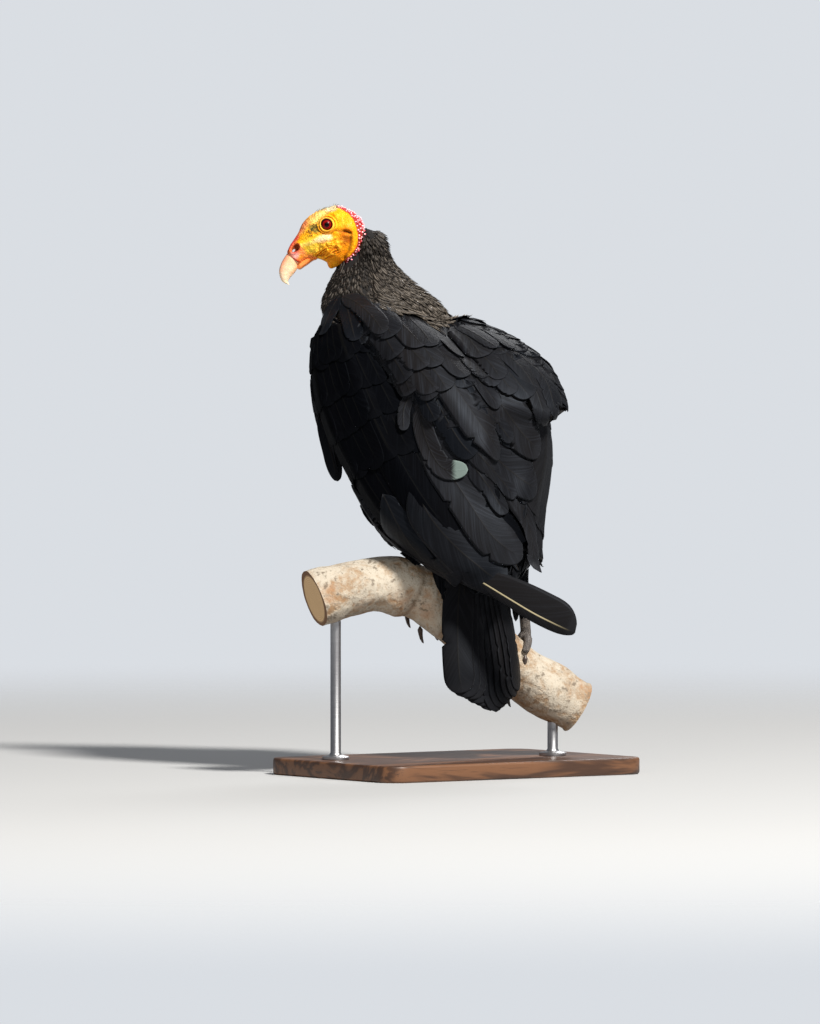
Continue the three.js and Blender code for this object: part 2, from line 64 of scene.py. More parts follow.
# Rows of the head from nape to bill: top (ahead, up), underside (ahead, up), half width.
SKULL = [(-36, -6, -36, -12, 3), (-32.5, 6, -34, -24, 12), (-23.5, 14.6, -27, -34, 18.5),
         (-10, 19, -14, -38.5, 20), (3, 13.6, -3.5, -37.5, 18.4), (13.2, 8.8, 5, -33.5, 16.2),
         (21.4, 1, 11, -32.2, 14), (28, -8.4, 16, -32.8, 11), (34.4, -18.6, 21.5, -35, 8.8),
         (38.8, -28, 26.5, -38.6, 6.9)]
HOOK = [(38.8, -28.4, 27.4, -38.4, 6.6), (42.4, -34, 28.6, -42, 6.1), (45, -39.6, 30.6, -45.4, 5.4),
        (45.9, -45, 33.4, -48.6, 4.4), (45, -50.4, 36.2, -52, 3.2), (42.2, -55, 37.4, -54.8, 2),
        (36, -58, 35.6, -57.6, 0.7)]
LOWER_BILL = [(12, -29.4, 13, -34.4, 6), (18, -31.8, 17, -37.2, 6.2), (23.6, -36, 21.6, -40.4, 5.4),
              (29, -41, 27.2, -44.4, 3.6)]

# Middle lines from the head down, and rows of the alulas, folded wings and capes: lower, middle, upper point.
NECK_SPINE = [(31, -120, 521), (28.5, -127, 505), (26, -130, 487), (21, -126, 465), (15, -120, 445),
              (13, -113, 427), (8, -96, 404)]
TRUNK_SPINE = [(8, -104, 446), (3, -80, 410), (0, -56, 368), (0, -32, 322), (0, -8, 275), (0, 14, 232),
               (0, 26, 196)]
ALULA = [((80, -138, 400), (90, -131, 402), (94, -118, 400)),
         ((88, -134, 364), (98, -119, 366), (102, -102, 366)),
         ((88, -120, 322), (96, -108, 326), (101, -92, 330)),
         ((79, -93, 280), (83, -90, 282), (88, -84, 290))]
TAIL_SPINE = [(0, 18, 214), (0, 19, 190), (0, 24, 158), (0, 31, 120), (0, 37, 86), (0, 41, 60)]
# Half width and arch of the folded tail, row by row.
TAIL_SIZE = [(34, 9), (41, 9), (45, 7), (46, 5.5), (43, 4.5), (36, 3)]
WING = [((84, -136, 420), (92, -104, 438), (56, -70, 446)),
        ((90, -134, 388), (108, -80, 402), (50, -18, 420)), ((92, -114, 330), (112, -48, 350), (40, 22, 376)),
        ((80, -82, 274), (102, -20, 300), (30, 52, 320)), ((68, -38, 222), (86, 22, 246), (8, 84, 262)),
        ((36, 28, 186), (44, 66, 192), (-24, 98, 200))]
QUILLS = [((82, -92, 290), (92, -50, 300), (66, 0, 300)), ((72, -60, 238), (80, -20, 248), (50, 34, 255)),
          ((52, -6, 196), (58, 34, 206), (14, 70, 222)), ((14, 60, 166), (14, 84, 176), (-26, 104, 190)),
          ((-26, 126, 134), (-32, 134, 135), (-32, 134, 148))]
RIGHT_WING = [((-84, -136, 400), (-92, -104, 418), (-56, -70, 426)),
              ((-90, -134, 372), (-108, -80, 386), (-50, -18, 404)),
              ((-90, -108, 318), (-112, -30, 338), (-56, 40, 364)),
              ((-80, -78, 266), (-104, -6, 292), (-44, 60, 312)),
              ((-76, -38, 218), (-86, 14, 240), (-20, 68, 256)),
              ((-40, 20, 186), (-54, 56, 196), (-2, 82, 204))]
RIGHT_QUILLS = [tuple((-x, y, z) for x, y, z in row) for row in QUILLS[:2]] + [
    ((-54, -10, 200), (-62, 26, 206), (-18, 56, 220)), ((-18, 46, 180), (-20, 66, 186), (12, 76, 196)),
    ((8, 90, 166), (12, 96, 168), (22, 97, 176))]
CAPE = [((64, -118, 460), (48, -98, 466), (28, -84, 456)), ((86, -70, 424), (62, -46, 442), (14, -30, 438)),
        ((80, -20, 384), (56, 2, 408), (8, 10, 408)), ((66, 20, 332), (46, 44, 358), (4, 42, 372)),
        ((36, 62, 286), (22, 74, 300), (-2, 66, 326))]
RIGHT_CAPE = [((-70, -84, 430), (-46, -62, 438), (-14, -54, 444)),
              ((-94, -46, 406), (-62, -22, 422), (-10, -18, 428)),
              ((-101, 0, 382), (-71, 22, 400), (-8, 18, 402)),
              ((-95, 38, 350), (-68, 54, 364), (-6, 46, 370)),
              ((-78, 62, 332), (-54, 70, 334), (-8, 62, 338))]
LEFT_THIGH = [(56, -44, 290), (56, -40, 262), (52, -34, 236), (40, -26, 208), (26, -2, 200)]
RIGHT_THIGH = [(-44, -40, 284), (-49, -18, 246), (-52, 4, 216), (-53, 15, 190)]

PERCH_TURN = math.radians(15)
PERCH_SET_BACK = -14.0
PERCH_RADIUS = 25.5
# Along the branch: distance from its middle, height of its axis, girth as a share of PERCH_RADIUS.
BRANCH = [(-152, 166, 1.1), (-112, 177, 1.02), (-72, 181, 1), (-36, 172, 0.98), (0, 147, 1), (40, 115, 1),
          (80, 86, 1), (134, 56, 0.98)]
BASE_CORNER = 22.0
BASE_BEVEL = 2.5


# ---- curves and small sums

def through(rows, t):
    """The rows' values at the shares t, on a smooth curve that passes through every row."""
    rows = np.asarray(rows, float)
    t = np.asarray(t, float)
    last = len(rows) - 1
    rows = np.concatenate([[2 * rows[0] - rows[1]], rows, [2 * rows[-1] - rows[-2]]])
    place = np.clip(t, 0, 1) * last
    i = np.minimum(place.astype(int), last - 1)
    f = (place - i).reshape(t.shape + (1,) * (rows.ndim - 1))
    a, b, c, d = rows[i], rows[i + 1], rows[i + 2], rows[i + 3]
    curve = 2 * b + (c - a) * f + (2 * a - 5 * b + 4 * c - d) * f ** 2 + (3 * b - a - 3 * c + d) * f ** 3
    return curve / 2


def eased(low, high, value):
    """0 below low, 1 above high, and a smooth step between them."""
    share = np.clip((value - low) / (high - low), 0, 1)
    return share * share * (3 - 2 * share)


def unit(vectors):
    return vectors / np.maximum(np.linalg.norm(vectors, axis=-1, keepdims=True), 1e-12)


def bell(value, middle, width):
    """1 at the middle, falling off softly over the width on either side."""
    return np.exp(-((value - middle) / width) ** 2)


def turned(x, y, angle):
    """How far (x, y) lies along a way turned by the angle, and over it."""
    return x * math.cos(angle) + y * math.sin(angle), y * math.cos(angle) - x * math.sin(angle)


def power_circle(angle, power):
    """A point of a squarish round section: across and up, each from -1 to 1."""
    across, up = np.cos(angle), np.sin(angle)
    return (np.sign(across) * np.abs(across) ** (2 / power), np.sign(up) * np.abs(up) ** (2 / power))


def round_ends(t, first, last):
    """How full a form is at t: it closes in a quarter round over each end's share of its length."""
    start = 1 - np.minimum(1, t / first)
    end = 1 - np.minimum(1, (1 - t) / last)
    return np.sqrt(np.clip((1 - start ** 2) * (1 - end ** 2), 0, 1))


def on_head(ahead, up, out):
    """Points in the model's frame from places on the head."""
    ahead, up, out = (np.asarray(v, float)[..., None] for v in (ahead, up, out))
    return HEAD_AT + AHEAD * ahead + UP * up + OUT * out


def to_head(points):
    """Places on the head (ahead, up, out) of points in the model's frame."""
    off = points - HEAD_AT
    return off @ AHEAD, off[..., 2], off @ OUT


def line_distance(x, y, line):
    """How far (x, y) lies from a line through some points."""
    best = np.full(np.shape(x), 1e9)
    for (ax, ay), (bx, by) in zip(line, line[1:]):
        dx, dy = bx - ax, by - ay
        share = np.clip(((x - ax) * dx + (y - ay) * dy) / (dx * dx + dy * dy), 0, 1)
        best = np.minimum(best, np.hypot(x - ax - share * dx, y - ay - share * dy))
    return best


def stroke(x, y, line, width):
    """1 on a line through some points, falling softly to 0 at width from it."""
    return 1 - eased(0, width, line_distance(x, y, line))


def spot(x, y, at, size, turn=0.0):
    """1 in the middle of a soft oval, falling to 0 at its edge."""
    along, over = turned(x - at[0], y - at[1], turn)
    return 1 - eased(0.35, 1, np.hypot(along / size[0], over / size[1]))


# ---- mesh helpers

WELD = 1e-6


def places_of(vertices):
    return np.array([v.co for v in vertices]).reshape(-1, 3) / MM


def put_places(bm, points):
    for vertex, point in zip(bm.verts, points * MM):
        vertex.co = point


def normals_of(bm):
    bm.normal_update()
    return np.array([v.normal for v in bm.verts])


def rolled(around, along, place):
    """A grid rolled into a closed form: place(t, angle) gives its points."""
    bm = bmesh.new()
    bmesh.ops.create_grid(bm, x_segments=around, y_segments=along, size=0.5)
    flat = places_of(bm.verts) * MM + 0.5
    put_places(bm, place(np.clip(flat[:, 1], 0, 1), flat[:, 0] * TURN))
    bmesh.ops.remove_doubles(bm, verts=bm.verts, dist=WELD)
    bmesh.ops.recalc_face_normals(bm, faces=bm.faces)
    return bm


def every_face(mesh, name, value):
    mesh.polygons.foreach_set(name, [value] * len(mesh.polygons))


def shown(name, data, *materials):
    """An object at the origin that shows a mesh, or holds a camera or a lamp."""
    for material in materials:
        data.materials.append(material)
    holder = bpy.data.objects.new(name, data)
    bpy.context.scene.collection.objects.link(holder)
    return holder


def piece_from(bm, name, *materials, smooth=True):
    """An object at the origin from a bmesh, with its materials."""
    mesh = bpy.data.meshes.new(name)
    bm.to_mesh(mesh)
    bm.free()
    every_face(mesh, "use_smooth", smooth)
    return shown(name, mesh, *materials)


def dress(piece, slot, *nodes):
    """The piece rides on the model and stands for some nodes, which it hides. slot is not used."""
    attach(piece, "root")
    if nodes:
        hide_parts(*nodes)
    return piece


def applied(piece):
    """The piece's modifiers, worked into its mesh."""
    depsgraph = bpy.context.evaluated_depsgraph_get()
    mesh = bpy.data.meshes.new_from_object(piece.evaluated_get(depsgraph))
    piece.modifiers.clear()
    piece.data = mesh
    return piece


def merged_nodes(*names):
    """One bmesh of some nodes' merged copies."""
    bm = bmesh.new()
    for name in names:
        bm.from_mesh(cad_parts[name].data)
    bmesh.ops.remove_doubles(bm, verts=bm.verts, dist=WELD)
    return bm


def remeshed(name, nodes, voxel, rounds, balls=()):
    """One closed, even shell round some nodes and balls (place, radius), smoothed."""
    bm = merged_nodes(*nodes)
    for place, radius in balls:
        bmesh.ops.create_icosphere(bm, subdivisions=3, radius=radius * MM,
                                   matrix=Matrix.Translation(Vector(place.tolist()) * MM))
    shell = piece_from(bm, name)
    remesh = shell.modifiers.new("even", "REMESH")
    remesh.mode = "VOXEL"
    remesh.voxel_size = voxel * MM
    relax = shell.modifiers.new("relax", "SMOOTH")
    relax.factor = 0.5
    relax.iterations = rounds
    return applied(shell)


def removed(piece):
    mesh = piece.data
    bpy.data.objects.remove(piece)
    bpy.data.meshes.remove(mesh)


def painted(mesh, values):
    """A ground colour for each vertex, kept on the mesh."""
    paint = mesh.attributes.new("ground", "FLOAT_COLOR", "POINT")
    flat = np.ones((len(mesh.vertices), 4), np.float32)
    flat[:, :3] = values
    paint.data.foreach_set("color", flat.ravel())


def colour(red, green, blue):
    """A colour from its 0 to 255 shades, in linear light."""
    shades = np.array([red, green, blue]) / 255
    return tuple(np.where(shades > 0.04045, ((shades + 0.055) / 1.055) ** 2.4, shades / 12.92).tolist())


# ---- shader maths

def maths(operation, order=1):
    """A way to work with values that adds one Math node; its terms are turned round where order is -1."""
    def work(self, *others):
        terms = (self, *others)[::order]
        return self.look.node("ShaderNodeMath", {"operation": operation}, dict(enumerate(terms)))
    return work


class Value:
    """A node's output in a material. Its operators add the Math nodes that work them out."""

    __add__ = __radd__ = maths("ADD")
    __sub__, __rsub__ = maths("SUBTRACT"), maths("SUBTRACT", -1)
    __mul__ = __rmul__ = maths("MULTIPLY")
    __pow__, __abs__ = maths("POWER"), maths("ABSOLUTE")
    below, above, wave = maths("MINIMUM"), maths("MAXIMUM"), maths("SINE")

    def __init__(self, look, socket):
        self.look = look
        self.socket = socket

    def eased(self, low, high):
        """0 below low, 1 above high, smooth between; falling where low is the greater."""
        if low > high:
            return 1 - self.eased(high, low)
        return self.look.node("ShaderNodeMapRange", {"interpolation_type": "SMOOTHSTEP"},
                              {"Value": self, "From Min": low, "From Max": high})


class Look:
    """A material being made, with its nodes and its surface."""

    def __init__(self, name, **constants):
        self.material = bpy.data.materials.new(name)
        self.material.use_nodes = True
        self.tree = self.material.node_tree
        self.surface = self.tree.nodes["Principled BSDF"]
        self.finish(**constants)

    def feed(self, socket, value):
        if isinstance(value, Value):
            self.tree.links.new(value.socket, socket)
        elif socket.type == "RGBA":
            socket.default_value = (*value[:3], 1)
        else:
            socket.default_value = value

    def node(self, kind, settings=None, sockets=None, output=0):
        """Any node: its type, its settings, then its sockets' values or links."""
        made = self.tree.nodes.new(kind)
        for name, value in (settings or {}).items():
            setattr(made, name, value)
        for name, value in (sockets or {}).items():
            self.feed(made.inputs[name], value)
        return Value(self, made.outputs[output])

    def place(self):
        """The surface's place in the model's frame, in metres."""
        return self.node("ShaderNodeTexCoord", output="Object")

    def parts(self, vector):
        split = self.tree.nodes.new("ShaderNodeSeparateXYZ")
        self.feed(split.inputs[0], vector)
        return [Value(self, socket) for socket in split.outputs]

    def vector(self, x, y, z):
        return self.node("ShaderNodeCombineXYZ", None, {0: x, 1: y, 2: z})

    def ground(self):
        """The colour painted on the mesh."""
        return self.node("ShaderNodeAttribute", {"attribute_name": "ground"}, None, "Color")

    def map(self, name):
        """The three values of a map kept on the mesh."""
        return self.parts(self.node("ShaderNodeAttribute", {"attribute_name": name}, None, "Vector"))

    def noise(self, where, scale, detail=3.0, roughness=0.55, distortion=0.0):
        return self.node("ShaderNodeTexNoise", None, {
            "Vector": where, "Scale": scale, "Detail": detail, "Roughness": roughness,
            "Distortion": distortion}, "Fac")

    def cells(self, where, scale, feature="DISTANCE_TO_EDGE"):
        return self.node("ShaderNodeTexVoronoi", {"feature": feature}, {"Vector": where, "Scale": scale},
                         "Distance")

    def mix(self, share, first, second):
        return self.node("ShaderNodeMix", {"data_type": "RGBA"}, {0: share, 6: first, 7: second}, 2)

    def layers(self, base, *layers):
        """The base colour with more laid over it in turn, each as (share, colour)."""
        for share, shade in layers:
            base = self.mix(share, base, shade)
        return base

    def done(self, base, roughness, relief, depth, strength, **links):
        """Gives the surface its colour, roughness and relief, and returns the material."""
        bump = self.node("ShaderNodeBump", None, {"Height": relief, "Distance": depth, "Strength": strength})
        return self.finish(base_color=base, roughness=roughness, normal=bump, **links)

    def finish(self, **links):
        """Sets or links the surface's sockets, named in small letters, and returns the material."""
        for name, value in links.items():
            socket = name.replace("_", " ").title().replace("Ior", "IOR")
            self.feed(self.surface.inputs[socket], value)
        return self.material


# ---- finishes

BARB_SLANT = 1.25


def plumage_finish(name, black, brown, dust_and_sheen, rachis=(0.02, 0.016, 0.013), gloss=0.5, shine=0.12):
    """Near-black vane: barbs slanting from the shaft, streaks of dust and painted sheen, worn brown rims.

    Reads the feather's own maps: "vane" (across mm, along mm, tone) and "edge" (across, along shares, wear).
    A wear between 1 and 2 gives the feather a pale tip, and one above 2 a cream shaft."""
    look = Look(name, specular_ior_level=shine, specular_tint=(0.7, 0.82, 1.0), sheen_weight=shine / 6,
                sheen_roughness=0.4, sheen_tint=(0.62, 0.66, 0.75))
    across, along, tone = look.map("vane")
    side, share, wear = look.map("edge")
    slant = along * 0.75 - abs(across) * BARB_SLANT
    barbs = look.noise(look.vector(slant * 1.9, abs(across) * 0.07, tone * 37), 1.0, 2.0)
    streaks = look.noise(look.vector(slant * 0.55, across * 0.03, tone * 61), 1.0)
    clouds = look.noise(look.place(), 28.0, 4.0)
    browner = (tone * 0.55 + clouds * 0.6 + wear * 0.35 - 0.3).eased(0.0, 1.0)
    # Grey dust on the barbs together with a painted sheen, in streaks along them.
    dust_and_sheen_share = (streaks.eased(0.42, 0.78) * 0.75 + barbs.eased(0.45, 0.8) * 0.35) * (0.15 + tone * 0.85)
    rim = (share.eased(0.86, 0.985) * 0.8 + abs(side).eased(0.8, 1.0) * 0.35) * (0.3 + wear)
    shaft = abs(across).eased(0.75, 0.3) * share.eased(0.98, 0.8)
    pale_tip = (wear - 1).above(0) * (2 - wear).above(0) * 4 * (share + streaks * 0.1).eased(0.87, 0.94)
    cream_shaft = (wear - 2).above(0) * abs(across).eased(0.9, 0.4) * share.eased(0.96, 0.6)
    base = look.layers(black, (browner, brown), (dust_and_sheen_share, dust_and_sheen),
                       ((rim * 0.6).below(0.7), look.mix(0.5, brown, dust_and_sheen)), (shaft, rachis),
                       (pale_tip, (0.14, 0.18, 0.165)), (cream_shaft, (0.42, 0.36, 0.22)))
    rough = 0.7 - (barbs * 0.22 + streaks * 0.18) * gloss + rim * 0.1
    relief = barbs * 0.7 + streaks * 0.3 + shaft * 0.9
    return look.done(base, rough, relief, 0.00016, 0.55)


def bristle_finish():
    """Stiff bristles, grey-green at the root, some of them pale."""
    look = Look("bristles", specular_ior_level=0.3)
    _, _, tone = look.map("vane")
    _, share, _ = look.map("edge")
    base = look.layers(colour(46, 48, 36), (tone.eased(0.3, 0.8), colour(198, 188, 148)),
                       (share.eased(0.2, 1.0) * 0.5, colour(40, 40, 34)))
    return look.finish(base_color=base, roughness=0.55 + tone * 0.2)


def face_finish():
    """Bare skin of the head: painted ground colours, fine wrinkles, pores, painted shade in the creases round
    the skin's pebbles, and wet glints.
    """
    look = Look("bare head skin", specular_ior_level=0.12, subsurface_weight=0.12, subsurface_scale=0.0016,
                coat_roughness=0.25)
    here = look.place()
    wrinkles = look.cells(here, 950.0)
    fine = look.noise(here, 700.0, 4.0, 0.65)
    broad = look.noise(here, 150.0)
    pebbles = look.cells(here, 430.0)
    base = look.layers(look.ground(), (fine.eased(0.6, 0.36) * 0.25, (0.5, 0.14, 0.0)),
                       (broad.eased(0.5, 0.75) * 0.15, (1.0, 0.66, 0.05)),
                       # Painted shade: darker orange in the creases round the pebbles, where their relief
                       # dips.
                       (pebbles.eased(0.16, 0.02) * broad.eased(0.6, 0.4) * 0.35, (0.45, 0.11, 0.0)))
    relief = wrinkles.eased(0.0, 0.25) * 0.4 + fine + pebbles.eased(0.0, 0.25) * 0.8
    return look.done(base, 0.66 - fine * 0.2, relief, 0.0004, 0.7, coat_weight=fine.eased(0.5, 0.7) * 0.12)


def under_coat_finish():
    """The skin under the feathers, dark and dull so that no gap shows."""
    look = Look("dark down", specular_ior_level=0.2)
    tufts = look.noise(look.place(), 420.0, 4.0)
    base = look.mix(tufts, (0.006, 0.006, 0.007), (0.02, 0.018, 0.017))
    return look.done(base, 0.85 + tufts * 0.1, tufts, 0.0006, 0.8)


def knob_finish():
    """Caruncles: pink on the sides, with a painted highlight as a pale tip and painted shade as a dark
    crimson root, where they crowd together.
    """
    look = Look("caruncles", specular_ior_level=0.5, subsurface_weight=0.2, subsurface_scale=0.001)
    height, tone, dark = look.map("knob")
    fine = look.noise(look.place(), 900.0)
    # Painted highlight: the pale tip of each knob.
    tip = look.mix(tone, colour(255, 226, 226), colour(250, 164, 178))
    flesh = look.mix(tone, colour(226, 66, 92), colour(196, 34, 56))
    # Painted shade: dark crimson at the roots between the knobs.
    base = look.layers(flesh, (height.eased(0.5, 0.9), tip), (height.eased(0.4, 0.1), colour(110, 10, 26)),
                       (dark * height.eased(0.7, 0.2), colour(92, 16, 36)))
    return look.done(base, 0.34 + fine * 0.15, fine, 0.00015, 0.5)


def horn_finish():
    """Ivory bill horn: painted ground, growth lines along the hook and faint stains."""
    look = Look("ivory horn", specular_ior_level=0.55, subsurface_weight=0.15, subsurface_scale=0.0015,
                coat_weight=0.25, coat_roughness=0.18)
    along, around, _ = look.map("grain")
    lines = look.noise(look.vector(along * 3.0, around * 26.0, 0.0), 1.0, 4.0, 0.6)
    rings = look.noise(look.vector(along * 30.0, around * 2.0, 3.0), 1.0, 3.0, 0.6)
    stains = look.noise(look.place(), 260.0)
    base = look.layers(look.ground(), (lines.eased(0.5, 0.72) * 0.3, colour(214, 150, 98)),
                       (stains.eased(0.55, 0.8) * 0.3, colour(196, 132, 96)))
    return look.done(base, 0.3 + lines * 0.14 + stains * 0.08, lines * 0.6 + rings * 0.5, 0.0002, 0.5)


def eye_finish(side):
    """A deep red iris with radial fibres, a black pupil, a dark rim and a wet, clear front."""
    look = Look("eye of the " + side, specular_ior_level=0.1, coat_weight=0.2, coat_roughness=0.01,
                coat_ior=1.45)
    away, turn, _ = look.map("iris")
    fibres = look.noise(look.vector((turn * TURN).wave() * 4.0, (turn * TURN + TURN / 4).wave() * 4.0,
                                    away * 0.25), 5.0, 4.0, 0.7)
    base = look.layers(colour(62, 3, 4), (away.eased(2.1, 3.8), colour(128, 9, 10)),
                       (fibres.eased(0.45, 0.75) * 0.4, colour(200, 36, 24)),
                       (away.eased(3.8, 4.7), colour(36, 3, 5)),
                       (away.eased(2.3, 2.0), (0.001, 0.001, 0.001)),
                       (away.eased(5.2, 6.0), colour(70, 34, 26)))
    return look.done(base, 0.24 + fibres * 0.1, fibres, 0.00008, 0.3)


def scale_finish():
    """Leg and toe skin: greyish flesh under plates and net-like scales."""
    look = Look("scaled leg skin", specular_ior_level=0.45)
    here = look.place()
    net = look.cells(here, 520.0)
    mottle = look.noise(here, 240.0, 4.0)
    base = look.layers(colour(62, 58, 56), (mottle, colour(112, 104, 98)),
                       (net.eased(0.12, 0.02) * 0.75, colour(34, 30, 30)),
                       (look.noise(here, 60.0).eased(0.55, 0.85) * 0.5, colour(170, 160, 148)))
    return look.done(base, 0.5 + mottle * 0.2, net.eased(0.0, 0.2), 0.0005, 0.8)


def claw_finish():
    """Dark claw horn, browner and smoother towards the point."""
    look = Look("claw horn", specular_ior_level=0.55)
    grain = look.noise(look.place(), 620.0, 4.0)
    base = look.mix(grain, colour(38, 32, 30), colour(84, 70, 62))
    return look.done(base, 0.28 + grain * 0.2, grain, 0.0002, 0.5)


def bark_finish():
    """Pale branch bark: ashy lichen over tan and grey-brown, dark pores, cracks, and painted shade in the
    ring of groove behind each growth collar.
    """
    look = Look("lichened bark", specular_ior_level=0.3)
    here = look.place()
    along, around, hollow = look.map("bark")
    broad = look.noise(here, 16.0, 5.0, 0.6)
    patches = look.noise(here, 38.0, 6.0, 0.62, 0.6)
    crust = look.noise(here, 120.0, 5.0, 0.65)
    grit = look.noise(here, 520.0, 4.0, 0.7)
    lichen = look.mix(grit, colour(150, 142, 130), colour(206, 198, 182))
    cover = (patches * 0.6 + crust * 0.4).eased(0.38, 0.55) * broad.eased(0.78, 0.52)
    pores = look.cells(look.vector(along * 110.0, around * 20.0, 0.0), 1.0, "F1")
    base = look.layers(colour(124, 94, 68), (patches, colour(172, 146, 114)),
                       (broad.eased(0.52, 0.68) * 0.6, colour(158, 108, 68)), (cover * 0.9, lichen),
                       (pores.eased(0.16, 0.07) * crust.eased(0.45, 0.6) * 0.8, colour(84, 62, 46)),
                       (crust.eased(0.55, 0.66) * 0.75, colour(92, 80, 66)),
                       (grit.eased(0.54, 0.64) * 0.5, colour(104, 90, 74)),
                       # Painted shade: darker bark in the groove behind each growth collar.
                       (hollow.eased(0.3, 1.0) * 0.5, colour(112, 90, 68)))
    return look.done(base, 0.78 + grit * 0.15, crust * 0.5 + grit * 0.25 + cover * 0.35, 0.002, 0.9)


def sawn_finish():
    """A sawn end: growth rings round the pith, saw marks and a dry check."""
    look = Look("sawn wood", specular_ior_level=0.3)
    away, _, _ = look.map("sawn")
    here = look.place()
    wobble = look.noise(here, 90.0)
    rings = (away * 3.4 + wobble * 3.0).wave()
    fibre = look.noise(here, 900.0)
    base = look.layers(colour(214, 182, 138), (rings.eased(-0.6, 0.9) * 0.5, colour(170, 126, 82)),
                       (fibre.eased(0.5, 0.8) * 0.4, colour(120, 86, 56)),
                       (away.eased(21.5, 24.0), colour(112, 82, 58)))
    return look.done(base, 0.7 + fibre * 0.15, fibre + rings * 0.2, 0.0003, 0.6)


def plinth_finish():
    """Dark oiled walnut for the base: long figure, pores and a soft satin."""
    look = Look("oiled walnut", specular_ior_level=0.45, coat_weight=0.15, coat_roughness=0.3)
    x, y, z = look.parts(look.place())
    bend = look.noise(look.vector(x * 3.0, y * 14.0, z * 14.0), 1.0, 4.0, 0.6, 1.2)
    pores = look.noise(look.vector(x * 40.0, y * 900.0, z * 900.0), 1.0)
    figure = (bend * 34.0).wave()
    base = look.layers(colour(62, 40, 27), (figure.eased(-1.0, 1.0), colour(104, 70, 46)),
                       (pores.eased(0.58, 0.72) * 0.7, colour(34, 21, 14)))
    return look.done(base, 0.42 + pores * 0.16, pores, 0.0002, 0.4)


def steel_finish():
    """Brushed steel rods."""
    look = Look("brushed steel", metallic=1.0)
    x, y, z = look.parts(look.place())
    brushed = look.noise(look.vector(x * 60.0, y * 60.0, z * 2600.0), 1.0)
    base = look.mix(brushed, (0.42, 0.42, 0.43), (0.58, 0.58, 0.6))
    return look.done(base, 0.3 + brushed * 0.16, brushed, 0.00004, 0.5)


def paper_finish():
    """Pale floor paper that fades into the backdrop far from the model."""
    look = Look("studio paper", base_color=(0.42, 0.425, 0.43), roughness=0.95, specular_ior_level=0.1)
    x, y, _ = look.parts(look.place())
    return look.finish(alpha=((x * x + y * y) ** 0.5).eased(2.6, 0.9))


# Each plumage's third colour is dust and painted sheen together; the blue in it and in the blacks is a
# painted reflection.
PLUMAGE = plumage_finish("body plumage", (0.0015, 0.0018, 0.0028), (0.005, 0.0045, 0.0045),
                         (0.009, 0.0095, 0.012))
MANTLE = plumage_finish("mantle plumage", (0.0022, 0.0026, 0.0038), (0.007, 0.0058, 0.0055),
                        (0.021, 0.0235, 0.0295), rachis=(0.009, 0.008, 0.007), gloss=0.7)
HOOD = plumage_finish("hood plumage", (0.026, 0.0225, 0.02), (0.13, 0.108, 0.086), (0.3, 0.265, 0.225))
QUILL = plumage_finish("quill plumage", (0.0016, 0.0018, 0.0026), (0.0062, 0.0052, 0.005),
                       (0.0135, 0.014, 0.0165), rachis=(0.008, 0.007, 0.006), gloss=0.8)
# Painted shade: a darker, duller copy of the quill plumage for the flight feathers on the left wing's shaded
# side.
SHADE_PAINTED_QUILL = plumage_finish("shaded quill plumage", (0.0006, 0.0007, 0.0012), (0.0016, 0.0015, 0.0018),
                        (0.0035, 0.004, 0.0055), rachis=(0.003, 0.003, 0.003), gloss=0.3, shine=0.03)
BRISTLE = bristle_finish()
FACE = face_finish()
DOWN = under_coat_finish()
KNOBS = knob_finish()
HORN = horn_finish()
SCALES = scale_finish()
CLAW = claw_finish()
BARK = bark_finish()
SAWN = sawn_finish()
WALNUT = plinth_finish()
STEEL = steel_finish()


# ---- camera, floor and light

VIEW_TURN = math.radians(145)
VIEW_RISE = math.radians(1.5)
TO_VIEWER = np.array([math.sin(VIEW_TURN) * math.cos(VIEW_RISE), -math.cos(VIEW_TURN) * math.cos(VIEW_RISE),
                      math.sin(VIEW_RISE)])
TO_RIGHT = np.array([math.cos(VIEW_TURN), math.sin(VIEW_TURN), 0.0])
VIEW_MIDDLE = {"right": -52.25, "up": 249.85, "high": 973.0}
VIEW_DISTANCE = 9000.0
SENSOR = 36.0


def place_camera():
    camera = bpy.data.cameras.new("camera")
    camera.sensor_fit = "VERTICAL"
    camera.sensor_height = SENSOR
    camera.lens = SENSOR * VIEW_DISTANCE / VIEW_MIDDLE["high"]
    camera.clip_end = 60.0
    middle = TO_RIGHT * VIEW_MIDDLE["right"] + UP * VIEW_MIDDLE["up"]
    bpy.context.scene.camera = aimed(camera, (middle + TO_VIEWER * VIEW_DISTANCE) * MM, middle * MM)


def aimed(data, place, aim):
    """A camera or lamp at a place, in metres, that looks at another."""
    holder = shown(data.name, data)
    holder.location = place
    holder.rotation_euler = (Vector(place) - Vector(aim)).to_track_quat("Z", "Y").to_euler()
    return holder


def area_light(name, place, aim, size, power, tint=(1, 1, 1)):
    lamp = bpy.data.lights.new(name, "AREA")
    lamp.shape = "DISK"
    lamp.size = size
    lamp.energy = power
    lamp.color = tint
    return aimed(lamp, place, aim)


def from_viewer(right, up, near):
    """A place in metres, counted from the model's middle as the camera sees it."""
    level = unit(TO_VIEWER * (1, 1, 0))
    return Vector((TO_RIGHT * right + UP * up + level * near).tolist())


def studio():
    """A round pale floor that the light falls on from the upper right, with a softer fill."""
    bm = bmesh.new()
    bmesh.ops.create_circle(bm, cap_ends=True, radius=3.0, segments=96)
    floor = piece_from(bm, "floor", paper_finish(), smooth=False)
    aim = (0, 0, 0.28)
    area_light("key", from_viewer(2.7, 4.9, 3.8), aim, 1.0, 920.0, (1.0, 0.965, 0.91))
    fill = area_light("fill", from_viewer(-1.2, 0.9, 3.4), aim, 1.6, 34.0, (1.0, 0.97, 0.92))
    fill.visible_glossy = False
    area_light("rim", from_viewer(1.2, 4.0, -4.4), aim, 2.2, 110.0)
    studio_air()
    bpy.context.scene.view_settings.view_transform = "Standard"


